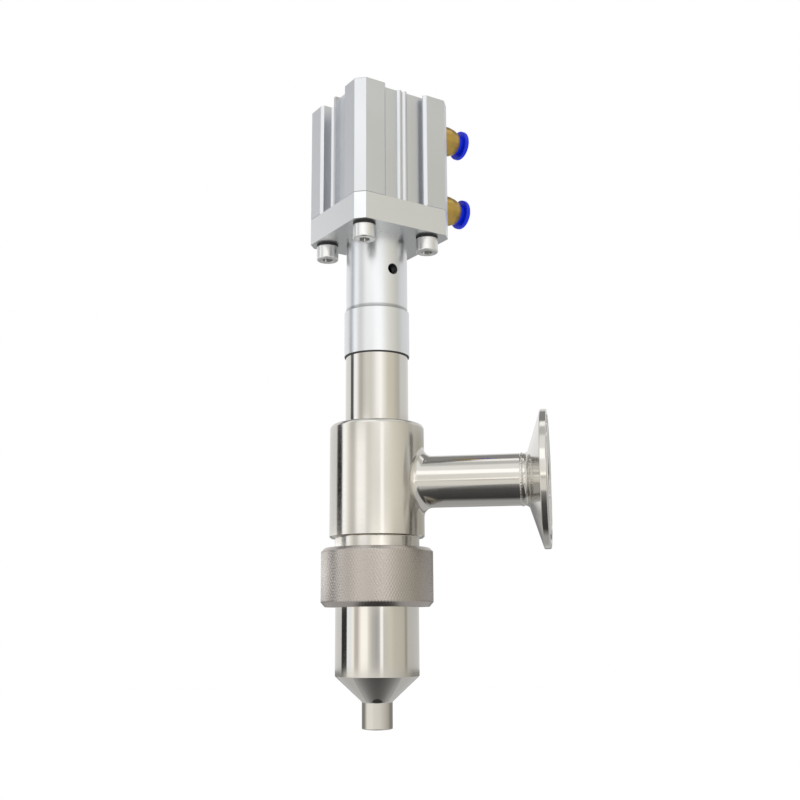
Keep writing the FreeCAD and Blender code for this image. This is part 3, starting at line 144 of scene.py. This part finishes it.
# The tent's layers by the height at which each begins; it takes over within LAYER_BLUR of that height. A layer is
# named for the part of the object that mirrors it, which stands much lower.
TENT_RADIUS = 0.9
TENT_TOP = 1.2
TENT_SIDES = 256
SKIRT_FOOT = -0.35
TENT_LAYERS = ((-0.02, SLEEVE_LIGHT), (0.07, NUT_LIGHT), (0.122, TEE_LIGHT), (0.27, NECK_LIGHT),
               (0.372, COLLAR_LIGHT), (0.5, BARREL_LIGHT))
LAYER_BLUR = 0.016

# Cards above and below the object: their height and half width, and the brightness at distances towards the camera.
ROOF_HEIGHT, ROOF_HALF_WIDTH = 0.9, 0.8
ROOF = ((-0.9, 0.33), (-0.14, 0.33), (-0.09, 1.4), (0.03, 1.4), (0.08, 0.7), (0.3, 0.7), (0.38, 1.1), (0.9, 1.1))
UNDER_HEIGHT, UNDER_HALF_WIDTH = -0.2, 0.12
UNDER = ((-0.8, 0.5), (-0.09, 0.46), (0.0, 0.05), (0.28, 0.1), (0.6, 0.35))
WIDE_UNDER_HEIGHT, WIDE_UNDER_HALF_WIDTH = -0.21, 0.8
WIDE_UNDER = ((-0.8, 0.62), (0.6, 0.62))

# Every cloth glows with this strength, and its colours hold the brightness as a share of it.
BRIGHTEST = 2.4
STUDIO_TURN = CAMERA_TURN - math.pi / 2

# Floor: its height, half its width, its grey, roughness and own glow.
FLOOR_HEIGHT, FLOOR_REACH = -0.36, 6
FLOOR_GREY = (0.8, 0.8, 0.8, 1)
FLOOR_ROUGHNESS = 0.8
FLOOR_GLOW = 0.2


def link_object(name, data):
    """A new object with this data, in the scene."""
    item = bpy.data.objects.new(name, data)
    bpy.context.scene.collection.objects.link(item)
    return item


def camera():
    """A pinhole camera, turned about Z to where it stands, and yawed, pitched and rolled to where it looks."""
    sight = Vector((math.sin(CAMERA_YAW) * math.cos(CAMERA_PITCH), math.cos(CAMERA_YAW) * math.cos(CAMERA_PITCH),
                    math.sin(CAMERA_PITCH)))
    level = Vector((math.cos(CAMERA_YAW), -math.sin(CAMERA_YAW), 0))
    upward = level.cross(sight)
    right = math.cos(CAMERA_ROLL) * level + math.sin(CAMERA_ROLL) * upward
    top = -math.sin(CAMERA_ROLL) * level + math.cos(CAMERA_ROLL) * upward
    axes = Matrix((right, top, -sight)).transposed().to_4x4()
    data = bpy.data.cameras.new("camera")
    data.sensor_width = CAMERA_SENSOR
    data.lens = CAMERA_FOCAL_SHARE * CAMERA_SENSOR
    data.clip_start = CAMERA_NEAREST
    data.clip_end = CAMERA_FARTHEST
    item = link_object("camera", data)
    turn = Matrix.Rotation(CAMERA_TURN, 4, "Z")
    item.matrix_world = turn @ Matrix.Translation((0, -CAMERA_DISTANCE, CAMERA_HEIGHT)) @ axes
    bpy.context.scene.camera = item


def put(tree, kind, settings=None, **inputs):
    """A node with its settings. Each input is a value or the socket that feeds it.

    An input is named by its label, with _ for a space, or by its place, as _0 for the first.
    """
    made = tree.nodes.new(kind)
    for name, value in (settings or {}).items():
        setattr(made, name, value)
    for name, value in inputs.items():
        socket = made.inputs[int(name[1:])] if name[0] == "_" else made.inputs[name.replace("_", " ")]
        if isinstance(value, bpy.types.NodeSocket):
            tree.links.new(value, socket)
        else:
            socket.default_value = value
    return made


def reckon(tree, operation, *values):
    """The outcome of one arithmetic operation on the values."""
    places = {f"_{place}": value for place, value in enumerate(values)}
    return put(tree, "ShaderNodeMath", {"operation": operation}, **places).outputs[0]


def remap(tree, value, low, high, first=0.0, last=1.0):
    """The value carried from the span low to high onto first to last, and held at the ends."""
    return put(tree, "ShaderNodeMapRange", _0=value, _1=low, _2=high, _3=first, _4=last).outputs[0]


def mix(tree, share, first, second, blend="MIX"):
    """The first colour, by share replaced by the second or, with MULTIPLY, multiplied by it."""
    settings = {"data_type": "RGBA", "blend_type": blend}
    return put(tree, "ShaderNodeMix", settings, _0=share, _6=first, _7=second).outputs[2]


def pattern_group(name, marks_detail, cloud_scale, cloud_detail, place_for_marks):
    """A shader group that puts out two numbers at a place: fine marks and a slow cloud over the piece.

    Both are noise. The cloud reads the place itself, and the marks read what place_for_marks makes of it, at the
    fineness that each material gives.
    """
    tree = bpy.data.node_groups.new(name, "ShaderNodeTree")
    tree.interface.new_socket("Vector", in_out="INPUT", socket_type="NodeSocketVector")
    tree.interface.new_socket("Fineness", in_out="INPUT", socket_type="NodeSocketFloat")
    for label in ("Marks", "Cloud"):
        tree.interface.new_socket(label, in_out="OUTPUT", socket_type="NodeSocketFloat")
    source, result = tree.nodes.new("NodeGroupInput"), tree.nodes.new("NodeGroupOutput")
    place = source.outputs["Vector"]
    marks = put(tree, "ShaderNodeTexNoise", Vector=place_for_marks(tree, place), Scale=source.outputs["Fineness"],
                Detail=marks_detail)
    cloud = put(tree, "ShaderNodeTexNoise", Vector=place, Scale=cloud_scale, Detail=cloud_detail)
    tree.links.new(marks.outputs[0], result.inputs["Marks"])
    tree.links.new(cloud.outputs[0], result.inputs["Cloud"])
    return tree


def stretched(tree, place, factors):
    """The place with X, Y and Z each multiplied by its factor."""
    return put(tree, "ShaderNodeVectorMath", {"operation": "MULTIPLY"}, _0=place, _1=factors).outputs[0]


def ring_place(tree, place):
    """Distance from Z and height: noise read there makes rings, as a lathe's tool does."""
    flat = stretched(tree, place, (1, 1, 0))
    radius = put(tree, "ShaderNodeVectorMath", {"operation": "LENGTH"}, _0=flat).outputs["Value"]
    height = put(tree, "ShaderNodeSeparateXYZ", _0=place).outputs[2]
    return put(tree, "ShaderNodeCombineXYZ", _0=radius, _2=height).outputs[0]


def die_place(tree, place):
    """The place pressed almost flat along Z: noise read there makes lines, as an extrusion's die does."""
    return stretched(tree, place, (1, 1, DIE_SHARE))


def same_place(tree, place):
    """The place itself: noise read there is even grain, blasted, moulded or polished."""
    return place


GROUPS = {
    "turned": pattern_group("turned marks", marks_detail=3.0, cloud_scale=70.0, cloud_detail=4.0,
                            place_for_marks=ring_place),
    "drawn": pattern_group("drawn lines", marks_detail=4.0, cloud_scale=55.0, cloud_detail=5.0,
                           place_for_marks=die_place),
    "grain": pattern_group("grain", marks_detail=2.0, cloud_scale=90.0, cloud_detail=5.0,
                           place_for_marks=same_place),
}


def finish(name, pattern, colour, roughness, spread, tone, depth, metallic=1.0, fineness=2500.0, turn=(0, 0, 0),
           centre=(0, 0, 0), specular=0.5):
    """A surface whose pattern shades the colour by tone and the roughness by spread, with marks of this depth.

    The pattern's own Z is turned by turn and moved to centre, for a piece that was turned about another axis.
    """
    made = bpy.data.materials.new(name)
    made.use_nodes = True
    tree = made.node_tree
    shader = tree.nodes["Principled BSDF"]
    shader.inputs["Metallic"].default_value = metallic
    shader.inputs["Specular IOR Level"].default_value = specular
    spot = put(tree, "ShaderNodeTexCoord")
    axis = put(tree, "ShaderNodeMapping", {"vector_type": "TEXTURE"}, Vector=spot.outputs["Object"], Rotation=turn,
               Location=centre)
    pattern_node = put(tree, "ShaderNodeGroup", {"node_tree": GROUPS[pattern]}, Vector=axis.outputs[0],
                       Fineness=fineness)
    marks, cloud = pattern_node.outputs["Marks"], pattern_node.outputs["Cloud"]
    dark = tuple(part * (1 - tone) for part in colour) + (1,)
    light = tuple(min(1, part * (1 + tone)) for part in colour) + (1,)
    tree.links.new(mix(tree, cloud, dark, light), shader.inputs["Base Color"])
    rough = remap(tree, reckon(tree, "ADD", cloud, marks), NOISE_LOW, NOISE_HIGH,
                  max(LEAST_ROUGHNESS, roughness - spread), roughness + spread)
    tree.links.new(rough, shader.inputs["Roughness"])
    bump = put(tree, "ShaderNodeBump", Height=marks, Strength=1.0, Distance=depth * MM)
    tree.links.new(bump.outputs[0], shader.inputs["Normal"])
    return made


def painted_light_and_shade_box(material, spans, share, blur):
    """Paints shade into the material's colour where share is below 1, and light where it is above: multiplies the
    colour by share in a box.

    The spans give the box's two faces along some axes of the cylinder's own frame. Along each of them the mask is 1
    inside the box and falls to 0 over the blur at its faces.
    """
    tree = material.node_tree
    shader = tree.nodes["Principled BSDF"]
    spot = put(tree, "ShaderNodeTexCoord")
    own = put(tree, "ShaderNodeMapping", {"vector_type": "TEXTURE"}, Vector=spot.outputs["Object"],
              Rotation=(0, 0, math.radians(ACTUATOR_TURN)))
    parts = put(tree, "ShaderNodeSeparateXYZ", _0=own.outputs[0])
    mask = 1.0
    for number, (low, high) in spans.items():
        middle, half = (low + high) / 2 * MM, (high - low) / 2 * MM
        away = reckon(tree, "ABSOLUTE", reckon(tree, "SUBTRACT", parts.outputs[number], middle))
        mask = reckon(tree, "MULTIPLY", mask, remap(tree, away, half - blur * MM, half, 1.0, 0.0))
    former = shader.inputs["Base Color"].links[0].from_socket
    shaded = mix(tree, mask, former, (share, share, share, 1), "MULTIPLY")
    tree.links.new(shaded, shader.inputs["Base Color"])


def arc_corners(corners):
    """The outline through (radius, height, rounding) corners, each corner replaced by its arc.

    An arc goes between the points where its circle touches the two sides. At share s along it, seen from the circle's
    middle, it is (sin((1 - s) swing) * first + sin(s swing) * last) / sin(swing). One point more stands beside each
    end and keeps the sides flat in shading.
    """
    spots = np.array([corner[:2] for corner in corners], float)
    points = []
    for number, (_, _, rounding) in enumerate(corners):
        here, before, after = spots[number], spots[number - 1], spots[(number + 1) % len(spots)]
        if rounding == 0:
            points.append(here[None])
            continue
        back, ahead = before - here, after - here
        back, ahead = back / np.linalg.norm(back), ahead / np.linalg.norm(ahead)
        half = math.acos(np.clip(back @ ahead, -1, 1)) / 2
        reach = rounding / math.tan(half)
        middle = here + (back + ahead) / np.linalg.norm(back + ahead) * rounding / math.sin(half)
        first, last = here + back * reach - middle, here + ahead * reach - middle
        share = np.linspace(0, 1, ARC_POINTS)[:, None]
        swing = math.pi - 2 * half
        arc = (np.sin((1 - share) * swing) * first + np.sin(share * swing) * last) / math.sin(swing)
        guard = reach + rounding * ARC_GUARD
        points += [(here + back * guard)[None], middle + arc, (here + ahead * guard)[None]]
    return np.vstack(points)


def ring_grid(outline, columns):
    """Every outline point (radius, height) carried once round Z: points of a grid, outline by angle."""
    angle = np.linspace(0, 2 * math.pi, columns, endpoint=False)
    radius, height = outline[:, :1], outline[:, 1:]
    return np.stack([radius * np.cos(angle), radius * np.sin(angle), height + 0 * angle], axis=2)


def closed_faces(rows, columns, alternate=False):
    """Triangles of a grid whose rows and columns both close on themselves.

    Each cell is split along its diagonal or, with alternate set and row plus column even, along the other one.
    """
    row, column = np.meshgrid(np.arange(rows), np.arange(columns), indexing="ij")
    next_row, next_column = (row + 1) % rows, (column + 1) % columns
    here, beside = row * columns + column, row * columns + next_column
    above, across = next_row * columns + column, next_row * columns + next_column
    flip = (((row + column) % 2 == 0) & alternate)[..., None]
    first = np.where(flip, np.stack([here, beside, above], -1), np.stack([here, beside, across], -1))
    second = np.where(flip, np.stack([beside, across, above], -1), np.stack([here, across, above], -1))
    return np.stack([first, second], axis=2).reshape(-1, 3)


def piece(name, points, faces, material, body, node):
    """A mesh from arrays, smooth but for its sharp edges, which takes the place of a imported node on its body."""
    mesh = bpy.data.meshes.new(name)
    mesh.from_pydata(points.reshape(-1, 3) * MM, [], faces)
    mesh.materials.append(material)
    mesh.set_sharp_from_angle(angle=SHARP_ANGLE)
    mesh.polygons.foreach_set("use_smooth", np.ones(len(faces), bool))
    item = link_object(name, mesh)
    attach(item, body)
    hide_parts(node)


def nozzle_sleeve():
    """Outlet tip, cone and sleeve turned from one bar, with its edges broken: an outline carried round Z."""
    columns = 192
    bore, tip, inside, sleeve, flange = 4.0, 5.5, 13.5, 15.15, 16.5
    flange_foot, top = 48.05, 51.25
    outline = arc_corners([
        (bore, 0.0, 0.12), (tip, 0.0, 0.35), (tip, 9.3, 0.6), (sleeve, 18.25, 0.3), (sleeve, flange_foot, 0.1),
        (flange, flange_foot, 0.1), (flange, top, 0.1), (inside, top, 0.1), (inside, 19.4475, 1.0),
        (bore, 10.6365, 0.8),
    ])
    points = ring_grid(outline, columns)
    piece("turned_sleeve", points, closed_faces(*points.shape[:2]), polished, "outlet_sleeve",
          "nozzle_sleeve")


def union_nut():
    """Nut with a cut diamond knurl: two sets of V grooves cross and leave pyramids.

    The band's radius is crest - KNURL_DEPTH * max(|2 frac(a) - 1|, |2 frac(b) - 1|), with
    a = KNURL_TEETH * angle / 2 pi + KNURL_RISES * rise, b the same with a minus, and rise 0 to 1 up the band. Four
    samples a tooth put every crest and every groove of the two sets on the diagonals of the grid's cells. The rest
    of the nut is an outline carried round Z, from the band's top inwards, down the bore and back out to its foot.
    """
    lip, bore, crest = 15.35, 17.35, 20.5
    foot, band_foot, lip_top, band_top, top = 42.4, 44.15, 48.05, 62.15, 63.45
    columns = KNURL_TEETH * KNURL_SAMPLES
    rows = KNURL_RISES * KNURL_SAMPLES + 1
    heights = np.linspace(band_foot, band_top, rows)[:, None]
    angle = np.linspace(0, 2 * math.pi, columns, endpoint=False)[None, :]
    tooth = np.arange(columns)[None, :] / KNURL_SAMPLES
    climb = np.arange(rows)[:, None] / KNURL_SAMPLES
    grooves = np.maximum(np.abs(2 * ((tooth + climb) % 1) - 1), np.abs(2 * ((tooth - climb) % 1) - 1))
    radius = crest - KNURL_DEPTH * grooves
    band = np.stack([radius * np.cos(angle), radius * np.sin(angle), heights + 0 * angle], axis=2)
    rim = arc_corners([
        (20.2, 62.45, 0), (19.2, top, 0.3), (18.15, top, 0.15), (bore, 62.65, 0.1), (bore, lip_top, 0.1),
        (lip, lip_top, 0.1), (lip, foot, 0.2), (19.0, foot, 0.4), (20.2, 43.8, 0),
    ])
    points = np.concatenate([band, ring_grid(rim, columns)])
    piece("knurled_nut", points, closed_faces(*points.shape[:2], alternate=True), knurl_steel,
          "union", "union_nut")


def flange_screws():
    """Four socket head cap screws: rounded head, hexagon socket with a bevelled mouth, and shank.

    Round the socket the radius is half_flats / cos(((angle + 30) mod 60) - 30), in degrees. The rest is an outline
    carried round the screw's axis. The socket's floor and the shank's end close the grid. The screws stand offset
    from the cylinder's axis along both of its sides, each with a twist of its own.
    """
    columns, offset = 48, 14.0
    half_flats, socket_floor, socket_mouth = 2.0, 2.6, 0.2
    shank, head, head_height, length = 2.45, 4.25, 5.3, 26.4
    first_twist, twist_step = 20, 35
    angle = np.linspace(0, 2 * math.pi, columns, endpoint=False)
    hexagon = half_flats / np.cos((angle + math.pi / 6) % (math.pi / 3) - math.pi / 6)
    profile = arc_corners([
        (shank, 0, 0), (head, 0.0, 0.6), (head, head_height, 0.15), (shank, head_height, 0), (shank, length, 0),
    ])
    radius = np.concatenate([np.tile(hexagon, (2, 1)), np.repeat(profile[:, :1], columns, axis=1)])
    height = np.concatenate([[socket_floor, socket_mouth], profile[:, 1]])[:, None] + 0 * angle
    screw = np.stack([radius * np.cos(angle), radius * np.sin(angle), height], axis=2)
    rows = len(radius)
    sides = closed_faces(rows, columns)[:(rows - 1) * columns * 2]
    caps = np.stack([np.arange(columns)[::-1], np.arange(columns) + (rows - 1) * columns])
    points, faces = [], []
    for number, (across, along) in enumerate(((1, 1), (-1, 1), (-1, -1), (1, -1))):
        twist, heading = math.radians(first_twist + twist_step * number), math.radians(ACTUATOR_TURN)
        own, shared = np.array(Matrix.Rotation(twist, 3, "Z")), np.array(Matrix.Rotation(heading, 3, "Z"))
        place = shared @ np.array([across * offset, along * offset, SCREW_FOOT])
        points.append(screw @ (shared @ own).T + place)
        first = number * rows * columns
        faces += (sides + first).tolist() + (caps + first).tolist()
    piece("socket_head_screws", np.concatenate(points), faces, steel, "housing", "flange_screws")


def inlet_ferrule():
    """Clamp ferrule round the X axis, with its gasket groove and the dressed weld that joins it to the tube.

    The ferrule is an outline carried round its axis. The groove's points are the half circle of groove_radius about
    (groove_middle, face). The weld's radius is neck + bead * sin(pi s) * (1 - dip + dip * cos(ripples * (angle +
    lean * (2 s - 1)^2))), with s from 0 to 1 across the weld.
    """
    bore, neck, flange, face, foot = 8.0, 9.5, 25.25, 10.2, 53.1
    groove_middle, groove_radius, groove_points = 21.75, 1.55, 11
    bead, width, dip, lean = 0.28, 1.2, 0.08, 0.03
    ripples, ripple_samples, weld_rows = 56, 8, 9
    columns = ripples * ripple_samples
    groove = [(groove_middle + groove_radius * math.cos(swing), face - groove_radius * math.sin(swing), 0)
              for swing in np.linspace(0, math.pi, groove_points)]
    outline = arc_corners([
        (neck, width, 0), (neck, 2.6825, 1.7), (flange, 7.8, 0.4), (flange, face, 0.4), *groove, (bore, face, 0.3),
        (bore, 0.0, 0), (neck, 0.0, 0),
    ])
    share = np.linspace(0, 1, weld_rows)[1:-1, None]
    angle = np.linspace(0, 2 * math.pi, columns, endpoint=False)[None, :]
    ripple = 1 - dip + dip * np.cos(ripples * (angle + lean * (2 * share - 1) ** 2))
    radius = neck + bead * np.sin(math.pi * share) * ripple
    weld = np.stack([radius * np.cos(angle), radius * np.sin(angle), width * share + 0 * angle], axis=2)
    upright = np.concatenate([ring_grid(outline, columns), weld])
    points = np.stack([upright[..., 2] + foot, upright[..., 1], INLET_LEVEL - upright[..., 0]], axis=2)
    piece("inlet_clamp_ferrule", points, closed_faces(*points.shape[:2]), inlet_steel, "housing",
          "inlet_ferrule")


def stage_object(name, mesh, material, only_reflected):
    """Places a piece of the studio; what is only reflected is unseen itself and lights and shades nothing."""
    mesh.materials.append(material)
    item = link_object(name, mesh)
    item.rotation_euler = (0, 0, STUDIO_TURN)
    item.visible_camera = item.visible_diffuse = item.visible_shadow = not only_reflected


def glowing_cloth(name):
    """A material with an empty tree, and the place on its piece that colours it, whole and as X, Y and Z."""
    cloth = bpy.data.materials.new(name)
    cloth.use_nodes = True
    cloth.node_tree.nodes.clear()
    place = put(cloth.node_tree, "ShaderNodeTexCoord").outputs["Object"]
    parts = put(cloth.node_tree, "ShaderNodeSeparateXYZ", _0=place)
    return cloth, cloth.node_tree, place, parts.outputs


def set_glow(tree, colour):
    """Ends a cloth's tree: it gives off the colour, at full strength."""
    glow = put(tree, "ShaderNodeEmission", Color=colour, Strength=BRIGHTEST)
    put(tree, "ShaderNodeOutputMaterial", Surface=glow.outputs[0])


def ramp_colour(tree, share, stops):
    """The colour at a share along a ramp of stops, each its share, its brightness and its tint."""
    ramp = put(tree, "ShaderNodeValToRGB", _0=share)
    elements = ramp.color_ramp.elements
    while len(elements) < len(stops):
        elements.new(1)
    for element, (position, bright, tint) in zip(elements, stops):
        element.position = position
        element.color = (*(bright * part / BRIGHTEST for part in tint), 1)
    return ramp.outputs[0]


def tent(name, layers, top):
    """A bright cylinder of cloth round the object, coloured by the angle from the camera and, softly, by height."""
    outline = np.array([(TENT_RADIUS, layers[0][0]), (TENT_RADIUS, top)])
    left = np.arange(TENT_SIDES)
    right = (left + 1) % TENT_SIDES
    mesh = bpy.data.meshes.new(name)
    mesh.from_pydata(ring_grid(outline, TENT_SIDES).reshape(-1, 3), [],
                     np.stack([right, left, left + TENT_SIDES, right + TENT_SIDES], axis=-1))
    cloth, tree, place, parts = glowing_cloth(name)
    turn_share = put(tree, "ShaderNodeTexGradient", {"gradient_type": "RADIAL"}, Vector=place).outputs["Fac"]
    shown = None
    for height, light in layers:
        stops = [(degrees / 360 + 0.5, bright, tint) for degrees, bright, tint in light]
        colour = ramp_colour(tree, turn_share, stops)
        if shown is None:
            shown = colour
        else:
            shown = mix(tree, remap(tree, parts[2], height - LAYER_BLUR, height + LAYER_BLUR), shown, colour)
    set_glow(tree, shown)
    stage_object(name, mesh, cloth, True)


def level_mesh(name, near, far, half_width, height):
    """A level rectangle from near to far along X."""
    mesh = bpy.data.meshes.new(name)
    corners = [(near, -half_width, height), (far, -half_width, height), (far, half_width, height),
               (near, half_width, height)]
    mesh.from_pydata(corners, [], [(0, 1, 2, 3)])
    return mesh


def level_card(name, height, half_width, stops):
    """A level glowing rectangle, its brightness given along the direction towards the camera."""
    near, far = stops[0][0], stops[-1][0]
    cloth, tree, _, parts = glowing_cloth(name)
    shares = [((along - near) / (far - near), bright, WHITE) for along, bright in stops]
    set_glow(tree, ramp_colour(tree, remap(tree, parts[0], near, far), shares))
    stage_object(name, level_mesh(name, near, far, half_width, height), cloth, True)


def floor():
    """The pale floor that the camera sees, which also glows a little."""
    made = bpy.data.materials.new("pale floor")
    made.use_nodes = True
    shader = made.node_tree.nodes["Principled BSDF"]
    shader.inputs["Base Color"].default_value = FLOOR_GREY
    shader.inputs["Roughness"].default_value = FLOOR_ROUGHNESS
    shader.inputs["Emission Color"].default_value = (1, 1, 1, 1)
    shader.inputs["Emission Strength"].default_value = FLOOR_GLOW
    stage_object("floor", level_mesh("floor", -FLOOR_REACH, FLOOR_REACH, FLOOR_REACH, FLOOR_HEIGHT), made, False)


camera()

# Finishes. Depths are in millimetres, and a fineness is the noise's scale to a metre.
polished = finish("polished stainless", "turned", (0.64, 0.62, 0.58), roughness=0.07, spread=0.03, tone=0.03,
                  depth=0.0003)
satin = finish("satin stainless", "turned", (0.63, 0.61, 0.57), roughness=0.14, spread=0.04, tone=0.04,
               depth=0.0005, fineness=1800.0)
knurl_steel = finish("knurled stainless", "grain", (0.45, 0.415, 0.385), roughness=0.28, spread=0.05, tone=0.06,
                     depth=0.002)
inlet_steel = finish("inlet stainless", "turned", (0.64, 0.62, 0.58), roughness=0.12, spread=0.04, tone=0.03,
                     depth=0.0004, turn=(0, math.radians(90), 0), centre=(0, 0, INLET_LEVEL * MM))
barrel_finish = finish("drawn anodised aluminium", "drawn", (0.645, 0.66, 0.68), roughness=0.38, spread=0.05,
                       tone=0.03, depth=0.001)
plate_finish = finish("turned aluminium", "grain", (0.735, 0.75, 0.765), roughness=0.30, spread=0.02, tone=0.015,
                      depth=0.0002)
# Painted shade and painted light on the barrel's left recess, and painted shade at the adapter's collar.
painted_light_and_shade_box(barrel_finish, *RIB_FRONT_PAINTED_SHADE)
painted_light_and_shade_box(barrel_finish, *LEFT_RECESS_PAINTED_LIGHT)
painted_light_and_shade_box(plate_finish, *COLLAR_CORNER_PAINTED_SHADE)
brass = finish("brass", "grain", (0.54, 0.365, 0.10), roughness=0.32, spread=0.06, tone=0.06, depth=0.001)
steel = finish("bright screw steel", "turned", (0.76, 0.76, 0.75), roughness=0.30, spread=0.05, tone=0.03,
               depth=0.0004)
dark_steel = finish("blackened steel", "turned", (0.09, 0.09, 0.095), roughness=0.35, spread=0.05, tone=0.05,
                    depth=0.0004)
blue = finish("blue moulded plastic", "grain", (0.0, 0.02, 0.72), roughness=0.34, spread=0.05, tone=0.08,
              depth=0.001, metallic=0.0, specular=0.25)
black = finish("black rubber", "grain", (0.012, 0.012, 0.013), roughness=0.5, spread=0.08, tone=0.1, depth=0.002,
               metallic=0.0)
white = finish("white seal", "grain", (0.72, 0.71, 0.68), roughness=0.45, spread=0.06, tone=0.04, depth=0.002,
               metallic=0.0)
magnet = finish("sintered magnet", "grain", (0.07, 0.07, 0.075), roughness=0.5, spread=0.08, tone=0.1, depth=0.003,
                metallic=0.0)
bronze = finish("bearing bronze", "turned", (0.62, 0.44, 0.24), roughness=0.28, spread=0.05, tone=0.05, depth=0.001)

SLOT_FINISHES = {
    "anodised_aluminium": barrel_finish, "turned_aluminium": plate_finish, "stainless": polished,
    "knurled_steel": knurl_steel, "screw_steel": steel, "spring_steel": steel, "polished_rod": polished,
    "brass": brass, "bronze": bronze, "blue_plastic": blue, "black_rubber": black, "white_rubber": white,
    "white_plastic": white, "magnet": magnet,
}
# Nodes with a finish of their own. The spring washers are as dark as the rubber: painted shade, for the dark line of
# shadow under the screws' heads.
NODE_FINISHES = {
    "tee_body": satin, "inlet_tube": inlet_steel, "inlet_ferrule": inlet_steel, "spring_washers": black,
    "valve_stem": dark_steel, "stem_lock_nut": dark_steel,
}
for name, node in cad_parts.items():
    packed_slot = node.data.materials[0].name.split(".")[0]
    node.data.materials.clear()
    node.data.materials.append(NODE_FINISHES.get(name, SLOT_FINISHES[packed_slot]))
nozzle_sleeve()
union_nut()
inlet_ferrule()
flange_screws()

tent("tent", TENT_LAYERS, TENT_TOP)
tent("tent_skirt", ((SKIRT_FOOT, SKIRT_LIGHT),), TENT_LAYERS[0][0])
floor()
level_card("roof_card", ROOF_HEIGHT, ROOF_HALF_WIDTH, ROOF)
level_card("under_card", UNDER_HEIGHT, UNDER_HALF_WIDTH, UNDER)
level_card("wide_under_card", WIDE_UNDER_HEIGHT, WIDE_UNDER_HALF_WIDTH, WIDE_UNDER)

world = bpy.data.worlds.new("studio")
world.use_nodes = True
world.node_tree.nodes["Background"].inputs["Color"].default_value = (1, 1, 1, 1)
bpy.context.scene.world = world
bpy.context.scene.view_settings.view_transform = "Standard"
